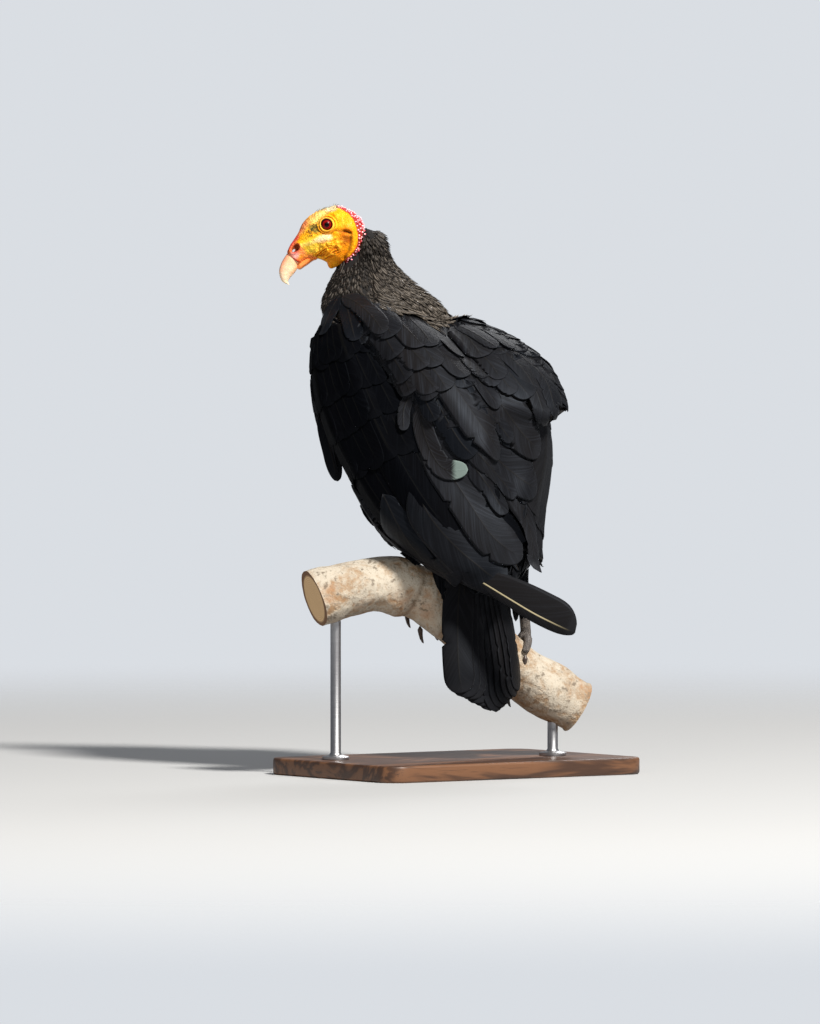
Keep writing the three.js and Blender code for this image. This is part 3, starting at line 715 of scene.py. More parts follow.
def studio_air():
    """The air lights the model softly, and shows as a plain pale backdrop."""
    world = bpy.data.worlds.new("studio air")
    world.use_nodes = True
    tree = world.node_tree
    air = tree.nodes["Background"]
    backdrop = tree.nodes.new("ShaderNodeBackground")
    seen = tree.nodes.new("ShaderNodeLightPath")
    either = tree.nodes.new("ShaderNodeMixShader")
    for light, shade, strength in ((air, (0.80, 0.87, 1.0, 1), 0.14), (backdrop, (0.70, 0.73, 0.77, 1), 1.0)):
        light.inputs["Color"].default_value = shade
        light.inputs["Strength"].default_value = strength
    tree.links.new(seen.outputs["Is Camera Ray"], either.inputs[0])
    tree.links.new(air.outputs[0], either.inputs[1])
    tree.links.new(backdrop.outputs[0], either.inputs[2])
    tree.links.new(either.outputs[0], tree.nodes["World Output"].inputs[0])
    bpy.context.scene.world = world


place_camera()
studio()


# ---- the head's form

SKULL_POWER = 2.2
SKULL_ENDS = (0.09, 0.03)
# How far the lid's roll, its groove and the soft ring lie from the eye's middle.
LID, LID_GROOVE, LID_RING = 6.3, 7.8, 8.8
# Lines on the head (ahead, up): the caruncle band's edges from crown to throat, and what marks the face.
CARUNCLE_OUTER = [(-10, 21), (-17, 18.8), (-23, 15), (-28, 10.7), (-32.5, 6), (-35.2, 1.9), (-37, -5),
                  (-36.6, -10), (-35, -15.5), (-33.8, -20), (-32, -25), (-29, -29.8), (-25, -33.8),
                  (-18, -38)]
CARUNCLE_INNER = [(-10, 16), (-16, 13.2), (-21, 10), (-25, 4.5), (-26.8, 0), (-28.4, -6), (-29.2, -12),
                  (-28.8, -18), (-26.8, -23.5), (-23.5, -28.5), (-19, -32.2), (-15.5, -34.8)]
# The band's ends fade out between these turns round its middle.
BAND_MIDDLE = (-6, -10)
THROAT_FADE = (-1.32, -1.22)
CROWN_FADE = (1.52, 1.44)
PALE_STRIPE = [(-1.5, -12), (3, -12.6), (10, -14.4), (17, -18), (24, -20)]
CHEEK_SLOPE = math.radians(-29)
EAR_SLIT = [(-16.5, -6.2), (-20, -6.8), (-23, -8.2)]
NAPE_CREASE = [(-22.5, -12), (-22.3, -19), (-21, -25), (-17, -32.5)]
NAPE_FOLD = [(-25.5, -9), (-25.8, -17), (-24.4, -24), (-20, -30)]
MOUTH = [(30, -41.6), (24, -37.4), (17, -33.8), (10, -30.4), (3, -29)]
LORE = (11.5, -3.2)
# The nostril's pit and the opening in it, each as its middle (ahead, up) and its half sizes.
NOSTRIL_SLANT = math.radians(-48)
PIT = (30.2, -22.6, 4.8, 3.3)
OPENING = (32.0, -24.8, 1.8, 1.05)


def band_share(ahead, up):
    """0 on the caruncle band's inner edge, 1 on its outer edge; and 1 between its ends, 0 past them."""
    def round_middle(along, high):
        back, rise = BAND_MIDDLE[0] - along, high - BAND_MIDDLE[1]
        return np.arctan2(rise, back), np.hypot(back, rise)

    turn, away = round_middle(ahead, up)
    inner, outer = (np.interp(turn, *round_middle(*np.array(line[::-1]).T))
                    for line in (CARUNCLE_INNER, CARUNCLE_OUTER))
    return (away - inner) / (outer - inner), eased(*THROAT_FADE, turn) * eased(*CROWN_FADE, turn)


def form_of(rows, power, ends):
    """A closed form from rows of the head: its surface at (t, angle)."""
    def form(t, angle):
        values = through(rows, t)
        full = round_ends(t, *ends)
        across, height = power_circle(angle, power)
        top, low, wide = values[:, 0:2], values[:, 2:4], values[:, 4]
        middle = (top + low) / 2 + (top - low) / 2 * (height * full)[:, None]
        return on_head(middle[:, 0], middle[:, 1], across * full * wide)
    return form


def fine_noise(points, size):
    """Smooth noise from -1 to 1 with features about size across."""
    return np.array([noise.noise(Vector(p)) for p in (points / size).tolist()])


def lid_profile(away):
    """The skin's height round the eye: sunk under it, a rolled lid, a groove and a soft ring."""
    sunk = -9.0 * (1 - eased(3.6, 5.6, away))
    return (sunk + 1.35 * bell(away, LID, 0.85) - 0.6 * bell(away, LID_GROOVE, 0.5)
            + 0.7 * bell(away, LID_RING, 0.7) - 0.4 * bell(away, 10.3, 0.8))


def marks_at(ahead, up):
    """Soft lines and ovals to draw at (ahead, up)."""
    return (lambda points, width: stroke(ahead, up, points, width)), (lambda *oval: spot(ahead, up, *oval))


def head_relief(ahead, up, out, points):
    """How far the skin stands out from the skull's form, in millimetres."""
    line, oval = marks_at(ahead, up)
    away = np.hypot(ahead, up * 1.04)
    side = eased(4.0, 9.0, np.abs(out))
    off_eye = eased(7.6, 11.0, away)
    folds = sum(depth * mask for depth, mask in (
        (1.1, line([(9, 7.2), (2, 11), (-6, 10.6), (-11, 6)], 4.0)),
        (-1.3, oval(LORE, (6.5, 4.5), -0.5)),
        (0.9, line(PALE_STRIPE, 4.6)),
        (-0.8, line([(8.5, -5.2), (3, -8.4), (-4, -8.2), (-10, -4.6)], 2.2)),
        (-0.6, line([(12, -9), (4, -11), (-4, -10)], 1.6)),
        (-2.6, line(EAR_SLIT, 2.1)),
        (1.0, line([(-14, -3.6), (-20, -3.4), (-25.4, -6.6), (-23, -11.5), (-17, -10.6)], 2.4)),
        (-1.5, line(NAPE_CREASE, 2.6)),
        (1.7, line(NAPE_FOLD, 3.2)),
        (-1.2, line(MOUTH, 1.7)),
        (0.7, line([(26, -36), (17, -31), (8, -27.4)], 3.0)),
        (0.8, line([(-7.5, -8.2), (-13, -8.6)], 1.8))))
    folds += cheek(ahead, up) * (creases(ahead, up, points) * 2.2 - 0.8)
    relief = (lid_profile(away) + folds * off_eye) * side
    throat = line([(-4, -38), (-8, -41.5), (-10, -44)], 5.0)
    relief += throat * 4.4 * (1 - eased(3, 10, np.abs(out)))
    brow = eased(-2, 8, ahead) * eased(26, 12, ahead) * eased(2, 9, up + ahead * 0.55)
    relief += brow * 0.16 * np.sin(ahead * 2.1 + fine_noise(points, 6.0) * 2.0)
    crest = eased(8.5, 14.5, up + 0.62 * ahead) * eased(-5, 4, ahead) * eased(34, 22, ahead)
    relief += crest * 1.8
    wrinkled = 0.55 * off_eye * eased(34, 24, ahead)
    relief += wrinkled * (fine_noise(points, 2.3) * 0.5 + fine_noise(points, 5.0) * 0.55)
    share, within = band_share(ahead, up)
    banded = eased(-0.2, 0.15, share) * eased(1.8, 1.2, share) * within
    relief -= banded * (0.4 + 1.5 * eased(2, 12, up))
    pit = opening_share(ahead, up, PIT)
    relief += 0.7 * bell(pit, 1.25, 0.22) - 2.6 * (1 - eased(0.55, 1.05, pit))
    cere = eased(24.5, 29, ahead * 0.86 - (up + 21) * 0.5)
    edge = line_distance(ahead, up, [(38.4, -29.4), (35, -34.2), (30.5, -35.4), (27, -36.5)])
    return relief + cere * 0.4 - 0.9 * bell(edge, 0, 0.8)


def cheek(ahead, up):
    """1 on the folded cheek, between the pale stripe and the jaw."""
    return np.clip(spot(ahead, up, (-2, -23), (22, 10.5), CHEEK_SLOPE) * 1.6, 0, 1)


def creases(ahead, up, points):
    """Irregular folds that run from the ear down to the gape, from 0 in a crease to 1 on a fold."""
    along, over = turned(ahead, up, CHEEK_SLOPE)
    over = over + fine_noise(points, 9.0) * 1.6
    flat = np.stack([along / 7.0, over / 2.1, along * 0], axis=1)
    broken = np.stack([along / 2.6, over / 1.3, along * 0 + 9], axis=1)
    ridges = 1.1 - np.abs(fine_noise(flat, 1.0)) * 2.6
    return np.clip(ridges * 0.75 + fine_noise(broken, 1.0) * 0.4 + 0.15, 0, 1)


def opening_share(ahead, up, opening):
    """How far (ahead, up) is from an opening's middle, 1 on its edge."""
    middle_ahead, middle_up, half_long, half_high = opening
    along, over = turned(ahead - middle_ahead, up - middle_up, NOSTRIL_SLANT)
    return np.hypot(along / half_long, over / half_high)


def edges_near(bm, reach):
    """Edges whose middles lie where reach(ahead, up, out) holds."""
    middles = np.array([(e.verts[0].co + e.verts[1].co) / 2 for e in bm.edges]) / MM
    chosen = reach(*to_head(middles))
    return [edge for edge, inside in zip(bm.edges, chosen) if inside]


def open_nostril(bm):
    """Cuts the see-through nostril: the rims of both sides are drawn round and bridged."""
    faces = list(bm.faces)
    ahead, up, _ = to_head(np.array([f.calc_center_median() for f in faces]) / MM)
    inside = opening_share(ahead, up, OPENING) < 1.0
    bmesh.ops.delete(bm, geom=[f for f, cut in zip(faces, inside) if cut], context="FACES")
    rims = [e for e in bm.edges if e.is_boundary]
    middle = np.array(OPENING[:2])
    for vertex in sorted({v for e in rims for v in e.verts}, key=lambda v: v.index):
        *seen, out = to_head(np.array(vertex.co) / MM)
        place = middle + (np.array(seen) - middle) / opening_share(*seen, OPENING)
        vertex.co = Vector(on_head(*place, out).tolist()) * MM
    bmesh.ops.bridge_loops(bm, edges=rims)


def laid_over(ground, shade, mask):
    """The ground colours with a shade over them where the mask is 1."""
    mask = np.clip(mask, 0, 1)[:, None]
    return np.array(ground) * (1 - mask) + np.array(colour(*shade)) * mask


def skin_paint(ahead, up, points):
    """The head's ground colours, laid one over another, with painted shade in its grooves and creases and
    painted light on some folds and on the downward-facing cheek, and what lies under the feathers in black.
    """
    grain = fine_noise(points, 1.6) * 0.5 + fine_noise(points, 4.0) * 0.5
    line, oval = marks_at(ahead, up)
    away = np.hypot(ahead, up)
    paint = colour(255, 172, 10)

    def lay(shade, mask):
        nonlocal paint
        paint = laid_over(paint, shade, mask)

    lay((255, 208, 72), eased(-0.1, 0.7, grain) * 0.7)
    lay((240, 140, 10), eased(0.0, -0.7, grain) * 0.6)
    # Painted shade colour: the downward-facing lower face is painted more orange, standing in for the warm
    # shade there.
    lay((255, 150, 12), eased(-18, -28, up) * 0.6)
    lay((246, 140, 12), oval((-10, -28), (16, 10), 0.1) * (0.6 + 0.3 * grain))
    lay((206, 104, 8), oval((-10, -35.5), (12, 4.5)) * 0.7)
    lay((255, 214, 60), oval((17, -19), (13, 10), -0.7) * 0.9)
    lay((255, 226, 130), oval((8, 8), (14, 7), -0.7) * 0.9)
    lay((255, 190, 110), line([(13, 8), (19, 2), (25, -5)], 6.0) * 0.8)
    lay((246, 130, 92), line([(21, 2), (26, -6), (31, -14), (36, -22)], 4.2) * 0.9)
    lay((236, 74, 74), line([(29, -12), (33, -17), (37, -23), (39.5, -28)], 4.0))
    lay((250, 140, 92), oval((25, -25), (5, 9), -0.9) * 0.8)
    lay((252, 176, 168), oval((31, -29), (6.5, 6.5), -0.7))
    lay((244, 130, 70), line([(30, -38), (23, -33.5), (16, -30.5)], 5.0) * 0.9)
    lay((172, 70, 0), oval((-19, -11), (10, 15)) * (0.8 + 0.35 * grain))
    lay((255, 236, 190), oval((-3, 15.5), (9, 4.2), -0.1) * 0.85)
    lay((238, 224, 178), oval((-2, 18), (9, 4)) * 0.8)
    wide = 2.6 + 2.2 * eased(16, 2, ahead)
    stripe = eased(1.1, 0.2, line_distance(ahead, up, PALE_STRIPE) / wide + grain * 0.5)
    lay((255, 240, 200), stripe * eased(20, 6, ahead) * (0.8 + 0.3 * grain))
    lay((255, 222, 110), stripe * eased(6, 20, ahead) * 0.8)
    lay((112, 112, 50), oval((12.5, -4), (8.5, 4.6), 0.62) * (0.95 + 0.3 * grain))
    lay((46, 52, 34), oval((10.4, -1.6), (5, 2.2), 0.3) * 0.95)
    lay((70, 74, 36), oval((16.5, -7.4), (4, 2.0), 0.7) * 0.8)
    fold = creases(ahead, up, points)
    # Painted shade in the cheek's creases and a painted highlight on its folds, following the relief.
    lay((176, 66, 0), cheek(ahead, up) * eased(0.34, 0.05, fold) * 0.85)
    lay((255, 214, 74), cheek(ahead, up) * eased(0.55, 1.0, fold) * 0.7)
    lay((96, 46, 10), line([(9, -18.4), (4, -18)], 1.3) * 0.7)
    lay((150, 78, 14), oval((-18.5, -13.5), (5, 4.5)) * (0.75 + 0.4 * grain))
    lay((140, 78, 16), line([(-8, -5), (-12, -6.2), (-15.5, -6.4)], 1.8) * 0.85)
    # Painted shade: the ear slit and the nape crease darker where the relief sinks; a painted highlight on
    # the raised nape fold.
    lay((38, 20, 8), line(EAR_SLIT, 1.9))
    lay((122, 62, 12), line(NAPE_CREASE, 2.1) * 0.85)
    lay((255, 188, 30), line(NAPE_FOLD, 2.0) * 0.5)
    lay((250, 156, 20), oval((-6, -38), (8, 8)) * 0.9)
    # Painted light: the lower front cheek, which faces down, is painted paler to make up for the little light
    # it gets.
    lay((255, 214, 70), oval((12, -23), (11, 5), -0.4) * 0.8)
    # Painted shade along the gape's groove.
    lay((110, 40, 14), line(MOUTH, 0.9) * 0.75)
    lay((255, 196, 70), bell(away, LID, 1.0))
    # Painted shade in the lid's groove.
    lay((196, 100, 12), bell(away, LID_GROOVE, 0.45) * 0.85)
    lay((255, 190, 40), bell(away, LID_RING, 0.7) * 0.7)
    # Painted shade in the groove under the eye.
    lay((120, 58, 10), line([(8.5, -5.2), (3, -8.3), (-4, -8), (-9, -4.6)], 1.3) * 0.7)
    lay((24, 10, 8), eased(5.5, 5.0, away))
    rim = line_distance(ahead, up, [(38.2, -27), (35.4, -31), (31.2, -33.6), (27.4, -34.8)])
    lay((206, 26, 48), bell(rim, 0, 1.3))
    pit = opening_share(ahead, up, PIT)
    lay((212, 60, 62), eased(1.5, 1.1, pit) * 0.7)
    lay((104, 12, 22), eased(1.08, 0.75, pit))
    share, within = band_share(ahead, up)
    lay((150, 24, 44), within * eased(0.0, 0.12, share))
    lay((14, 13, 13), eased(1.25, 1.5, share) * (ahead < -8))
    return paint


def head_mesh():
    """The bare head: the skull's form, made finer at the eyes and nostrils, then folded."""
    bm = rolled(176, 132, form_of(SKULL, SKULL_POWER, SKULL_ENDS))
    for reach in (lambda ahead, up, out: (np.hypot(ahead, up) < 11) & (np.abs(out) > 8),
                  lambda ahead, up, out: opening_share(ahead, up, PIT) < 1.5):
        bmesh.ops.subdivide_edges(bm, cuts=1, use_grid_fill=True, edges=edges_near(bm, reach))
    bmesh.ops.triangulate(bm, faces=[f for f in bm.faces if len(f.verts) > 4])
    points = places_of(bm.verts)
    put_places(bm, points + normals_of(bm) * head_relief(*to_head(points), points)[:, None])
    open_nostril(bm)
    bmesh.ops.recalc_face_normals(bm, faces=bm.faces)
    return bm


# ---- one skin

COAT_DEPTH = 5.0
FLESH = ("neck", "trunk", "wing_left", "wing_right", "scapulars_left", "scapulars_right", "thigh_left",
         "thigh_right")
FEET = ("foot_left", "foot_right", "tarsus_left", "tarsus_right")
# Middle lines of the shins down to the foot, where they are made as thick as higher up.
SHINS = [((16, -12, 212), (6, -21, 194)), ((-66.5, 3.5, 155), (-72.4, -1.6, 134))]
SHIN_RADIUS = 5.2


def nape_peak(ahead, up):
    """Where the neck rises to a peak close behind the head."""
    return eased(-26, -10, up) * eased(-32, -37, ahead) * eased(-60, -46, ahead)


def body_shell():
    """The flesh under the coat: one shell round the trunk, neck, wings and thighs, drawn in."""
    shell = remeshed("flesh", FLESH, voxel=4.0, rounds=6)
    bm = bmesh.new()
    bm.from_mesh(shell.data)
    points = places_of(bm.verts)
    out_by = nape_peak(*to_head(points)[:2]) * 6 - COAT_DEPTH
    put_places(bm, points + normals_of(bm) * out_by[:, None])
    bmesh.ops.smooth_vert(bm, verts=bm.verts, factor=0.5, use_axis_x=True, use_axis_y=True,
                          use_axis_z=True)
    bm.to_mesh(shell.data)
    bm.free()
    return shell


def united(base, *others):
    """The base mesh joined with the others into one closed surface."""
    for other in others:
        union = base.modifiers.new("union", "BOOLEAN")
        union.operation = "UNION"
        union.solver = "EXACT"
        union.object = other
    applied(base)
    for other in others:
        removed(other)
    return base


def unwrapped(piece):
    """A UV map of the piece's own shape."""
    piece.data.uv_layers.new(name="OFBake")
    bpy.context.view_layer.objects.active = piece
    piece.select_set(True)
    bpy.ops.object.mode_set(mode="EDIT")
    bpy.ops.mesh.select_all(action="SELECT")
    bpy.ops.uv.smart_project(angle_limit=math.radians(66), island_margin=0.002)
    bpy.ops.object.mode_set(mode="OBJECT")
    piece.select_set(False)


def make_skin():
    """One skin for the whole bird, with its face painted and its feet scaled."""
    shins = [(place, SHIN_RADIUS) for line in SHINS for place in through(line, np.linspace(0, 1, 9))]
    parts = (piece_from(head_mesh(), "skin"), body_shell(), remeshed("feet", FEET, 1.3, 4, shins))
    for kind, part in enumerate(parts):
        for material in (FACE, DOWN, SCALES):
            part.data.materials.append(material)
        every_face(part.data, "material_index", kind)
    skin = united(*parts)
    points = places_of(skin.data.vertices)
    ahead, up, _ = to_head(points)
    painted(skin.data, skin_paint(ahead, up, points))
    every_face(skin.data, "use_smooth", True)
    unwrapped(skin)
    bare = [name for name in FLESH if not name.startswith("scapulars")]
    return dress(skin, "face", "head", *bare, *FEET)


# ---- eyes, bill, knobs and bristles

def make_eye(side, name):
    """An eyeball with a clear bulge over its iris; side is 1 for the left eye, -1 for the right."""
    def ball(t, angle):
        polar = t * math.pi
        away = np.sin(polar) * EYE_RADIUS
        bulge = 0.35 * eased(5.2, 0.0, away) * (np.cos(polar) > 0)
        axis = np.cos(polar) * EYE_RADIUS + bulge
        return on_head(away * np.cos(angle), away * np.sin(angle), side * (EYE_OUT + axis))

    eye = piece_from(rolled(72, 60, ball), "eyeball_" + name, eye_finish(name))
    ahead, up, _ = to_head(places_of(eye.data.vertices))
    turn = np.arctan2(up, ahead) / TURN
    vertex_maps(eye.data, "iris", np.stack([np.hypot(ahead, up), turn, turn * 0], axis=1))
    return dress(eye, "eye", "eye_" + name)


def vertex_maps(mesh, name, values):
    """Three numbers for each vertex, kept on the mesh under a name."""
    kept = mesh.attributes.new(name, "FLOAT_VECTOR", "POINT")
    kept.data.foreach_set("vector", np.ascontiguousarray(values, np.float32).ravel())


# The horn starts inside the cere, so that no gap shows round it.
HORN_ROOT = (34.6, -23.6, 23.4, -34.8, 6.2)
LOWER_ROOT = (8, -28.8, 9, -33.4, 5.4)


def make_bill():
    """The hooked upper bill and the shorter lower one, with their horn grain and stains."""
    # The lower bill's top is raised into the gape.
    lower = [(top_ahead + 0.8, top_up + 2.0, *rest) for top_ahead, top_up, *rest in LOWER_BILL]
    for name, rows, power, ends, root, tip in (
            ("bill_upper", [HORN_ROOT] + HOOK, 2.1, (0.05, 0.12), (250, 192, 150), (250, 226, 190)),
            ("bill_lower", [LOWER_ROOT] + lower, 2.2, (0.12, 0.14), (246, 128, 44), (250, 158, 84))):
        bm = rolled(64, 90, form_of(rows, power, ends))
        points = places_of(bm.verts)
        ahead, up, out = to_head(points)
        ripple = fine_noise(points, 3.0) * 0.12 + fine_noise(points * (1, 1, 0.3), 1.4) * 0.06
        put_places(bm, points + normals_of(bm) * ripple[:, None])
        bill = piece_from(bm, name + "_horn", HORN)
        share = eased(-28, -58, up) if name == "bill_upper" else eased(14, 30, ahead)
        ground = laid_over(colour(*root), tip, share)
        if name == "bill_upper":
            ridge, edge = (line_distance(ahead, up, [row[k:k + 2] for row in HOOK]) for k in (0, 2))
            ground = laid_over(ground, (250, 160, 122), eased(5.5, 1.0, ridge) * eased(-52, -34, up) * 0.75)
            ground = laid_over(ground, (244, 166, 104), eased(4.5, 0.8, edge) * eased(-55, -40, up) * 0.6)
        painted(bill.data, ground)
        along = np.hypot(ahead - 33, up + 31)
        vertex_maps(bill.data, "grain", np.stack([along / 20, np.arctan2(out, up + 44) / 3, out * 0], axis=1))
        dress(bill, "horn", name)


def knob_places(source, rng):
    """Even places on the head's skin along the caruncle band."""
    places, normals = sampled(source, rng, 60000)
    share, within = band_share(*to_head(places)[:2])
    inside = (share > 0.06) & (share < 1.02) & (within > 0.5)
    inside &= np.linalg.norm(places - HEAD_AT, axis=1) < 44
    places, normals = places[inside], normals[inside]
    kept = thinned(places, 2.15)
    return places[kept], normals[kept]


def make_knobs(skin):
    """The caruncle band: some hundreds of fleshy drops, with a painted highlight at their tips."""
    rng = np.random.default_rng(11)
    places, normals = knob_places(skin, rng)
    bm = bmesh.new()
    bmesh.ops.create_icosphere(bm, subdivisions=2, radius=1.0)
    drop, faces = corners_and_faces(bm)
    count = len(places)
    size = rng.uniform(0.9, 1.3, count)
    tall = rng.uniform(1.0, 2.0, count)
    lean = unit(normals + rng.normal(0, 0.22, (count, 3)) + UP * 0.1)
    first = unit(np.cross(lean, rng.normal(0, 1, (count, 3))))
    second = np.cross(lean, first)
    height = drop[:, 2] * 0.5 + 0.5
    taper = 1.0 - 0.35 * height ** 2
    form = np.stack([drop[:, 0] * taper, drop[:, 1] * taper, drop[:, 2] + 0.15], axis=1)
    sizes = np.stack([size, size, tall], axis=1)[:, None]
    points = places[:, None] + (form * sizes) @ np.stack([first, second, lean], axis=1)
    knobs = array_piece("caruncles", points.reshape(-1, 3), faces, count, KNOBS)
    low = eased(-14, -34, to_head(places)[1]) * 0.6
    maps = np.stack([np.tile(height, (count, 1)), np.repeat(rng.uniform(0, 1, (count, 1)), len(drop), 1),
                     np.repeat(low[:, None], len(drop), 1)], axis=2)
    vertex_maps(knobs.data, "knob", maps.reshape(-1, 3))
    return dress(knobs, "face")


def corners_and_faces(bm):
    """The corners of a small shape and its faces, as arrays; the bmesh is freed."""
    corners = np.array([v.co for v in bm.verts])
    faces = np.array([[v.index for v in f.verts] for f in bm.faces])
    bm.free()
    return corners, faces


def array_piece(name, points, faces, count, material):
    """A mesh of count copies of one small shape: points holds all copies' places in turn."""
    each = len(points) // count
    copies = (faces[None] + (np.arange(count) * each)[:, None, None]).reshape(-1, faces.shape[1])
    mesh = bpy.data.meshes.new(name)
    mesh.vertices.add(len(points))
    mesh.vertices.foreach_set("co", np.ascontiguousarray(points * MM, np.float32).ravel())
    mesh.loops.add(copies.size)
    mesh.loops.foreach_set("vertex_index", copies.ravel().astype(np.int32))
    mesh.polygons.add(len(copies))
    starts = np.arange(len(copies)) * copies.shape[1]
    mesh.polygons.foreach_set("loop_start", starts.astype(np.int32))
    every_face(mesh, "use_smooth", True)
    mesh.update(calc_edges=True)
    mesh.validate()
    return shown(name, mesh, material)


# ---- places on a surface

class Surface:
    """A mesh to lay feathers on: its nearest points and normals."""

    held_off = 6

    def __init__(self, mesh):
        mesh.calc_loop_triangles()
        self.points = places_of(mesh.vertices)
        self.triangles = np.array([t.vertices[:] for t in mesh.loop_triangles])
        self.tree = BVHTree.FromPolygons(self.points.tolist(), self.triangles.tolist())
        self.normals = np.array([v.normal for v in mesh.vertices])

    def found(self, points):
        """Nearest places, the triangles they are in and how far away they are."""
        places, _, faces, gaps = zip(*(self.tree.find_nearest(point) for point in points.tolist()))
        return np.array(places), np.array(faces), np.array(gaps)

    def nearest(self, points):
        """Nearest places and their smooth normals, and how far away they are."""
        places, faces, gaps = self.found(points)
        shares = self.shares(places, faces)
        normals = (self.normals[self.triangles[faces]] * shares[..., None]).sum(axis=1)
        return places, unit(normals), gaps

    def shares(self, places, faces):
        """Barycentric shares of places in their triangles."""
        a, b, c = (self.points[self.triangles[faces, k]] for k in range(3))
        u, v, w = b - a, c - a, places - a
        uu, uv, vv, wu, wv = ((m * n).sum(axis=1) for m, n in ((u, u), (u, v), (v, v), (w, u), (w, v)))
        flat = np.maximum(uu * vv - uv * uv, 1e-12)
        second = np.clip((vv * wu - uv * wv) / flat, 0, 1)
        third = np.clip((uu * wv - uv * wu) / flat, 0, 1)
        return np.stack([np.clip(1 - second - third, 0, 1), second, third], axis=1)

    def under(self, points, outward):
        """The surface's nearest places to points held a little way off it, and its outward ways there."""
        places, normals, _ = self.nearest((points + outward * self.held_off).reshape(-1, 3))
        return places.reshape(points.shape), normals.reshape(points.shape)


def sampled(piece, rng, count):
    """Random places spread evenly over a piece's surface, with normals, in millimetres."""
    mesh = piece.data
    mesh.calc_loop_triangles()
    corners = places_of(mesh.vertices)[np.array([t.vertices[:] for t in mesh.loop_triangles])]
    normals = np.cross(corners[:, 1] - corners[:, 0], corners[:, 2] - corners[:, 0])
    areas = np.linalg.norm(normals, axis=1)
    chosen = rng.choice(len(areas), count, p=areas / areas.sum())
    u, v = np.sqrt(rng.uniform(size=count)), rng.uniform(size=count)
    shares = np.stack([1 - u, u * (1 - v), u * v], axis=1)
    return (corners[chosen] * shares[..., None]).sum(axis=1), unit(normals[chosen])


def thinned(places, gaps):
    """The places, first come first kept, that keep their gap from every kept one."""
    gaps = np.broadcast_to(gaps, len(places))
    cell = float(gaps.max())
    grid, kept = {}, []
    keys = np.floor(places / cell).astype(int)
    around = [(i - 1, j - 1, k - 1) for i, j, k in np.ndindex(3, 3, 3)]
    rows = places.tolist()
    for i, ((x, y, z), gap) in enumerate(zip(keys.tolist(), gaps.tolist())):
        near = (rows[j] for dx, dy, dz in around for j in grid.get((x + dx, y + dy, z + dz), ()))
        if all(math.dist(rows[i], place) >= gap for place in near):
            grid.setdefault((x, y, z), []).append(i)
            kept.append(i)
    return np.array(kept)


# ---- the shape of a feather

class VaneShape:
    """One feather's corners: rings along its shaft, each a flat closed section, and a point at either end.

    Stations are shares of the length; section points are (across, height), from the right edge round."""

    def __init__(self, stations, section):
        count, rings = len(section), len(stations) - 2
        bm = bmesh.new()
        bmesh.ops.create_uvsphere(bm, u_segments=count, v_segments=rings + 1, radius=1.0)
        bmesh.ops.triangulate(bm, faces=bm.faces)
        corners, self.faces = corners_and_faces(bm)
        polar = np.arccos(np.clip(corners[:, 2], -1, 1)) / math.pi
        self.ring = np.rint(polar * (rings + 1)).astype(int)
        turn = np.arctan2(corners[:, 1], corners[:, 0]) / TURN
        section = np.array(section, float)[np.rint(turn * count).astype(int) % count]
        ends = ((self.ring == 0) | (self.ring == rings + 1))[:, None]
        self.across, self.height = np.where(ends, 0, section).T
        self.stations = np.array(stations, float)


def even_stations(count, crowd=0.75):
    """Shares from 0 to 1, closer together towards the tip."""
    return np.linspace(0, 1, count) ** crowd


HAIR = VaneShape([0, 0.2, 0.65, 1], [(1, 0), (0, 1), (-1, 0), (0, -1)])
SMALL = VaneShape([0, 0.12, 0.36, 0.62, 0.84, 0.95, 1],
                  [(1, 0), (0.5, 0.8), (0, 1.2), (-0.5, 0.8), (-1, 0), (0, -0.8)])
MIDDLING = VaneShape(even_stations(13), [(1, 0), (0.7, 0.6), (0.32, 0.8), (0.05, 0.9), (0, 1.7), (-0.05, 0.9),
                                         (-0.32, 0.8), (-0.7, 0.6), (-1, 0), (0, -0.8)])
LARGE = VaneShape(even_stations(46, 0.85), [
    (1, 0), (0.86, 0.5), (0.64, 0.6), (0.4, 0.7), (0.18, 0.7), (0.06, 0.8), (0, 1.9), (-0.06, 0.8),
    (-0.18, 0.7), (-0.4, 0.7), (-0.64, 0.6), (-0.86, 0.5), (-1, 0), (-0.5, -0.6), (0, -1.2), (0.5, -0.6)])


def rounded_outline(s, root=0.42, tip=0.5, square=2.2):
    """A vane's width along its length: it widens over the root's share and rounds off over the tip's."""
    opening = (1 - (1 - np.minimum(1, s / root)) ** 2) ** 0.8
    closing = np.sqrt(np.clip(1 - np.clip((s - 1 + tip) / tip, 0, 1) ** square, 0, 1))
    return opening * closing


def quill_outline(s):
    return rounded_outline(s, 0.16, 0.16, 2.0) * (0.86 + 0.14 * eased(0.0, 0.5, s))


def primary_outline(s):
    return rounded_outline(s, 0.12, 0.1, 2.0) * (1 - 0.42 * eased(0.55, 0.98, s))


def lifted(lift, count, share):
    """How high some feathers stand at shares of their length; lift is (at the root, at the tip)."""
    low, high = (np.broadcast_to(np.asarray(v, float), count)[:, None] for v in lift)
    return low + (high - low) * share ** 1.2


def spread_lines(lines, shares):
    """Lines of evenly spaced points, read at other shares of their length."""
    return np.moveaxis(through(np.moveaxis(lines, 1, 0), shares), 0, 1)


# How much of the skin's unwrap one feather takes up.
BAKE_PATCH = 0.003


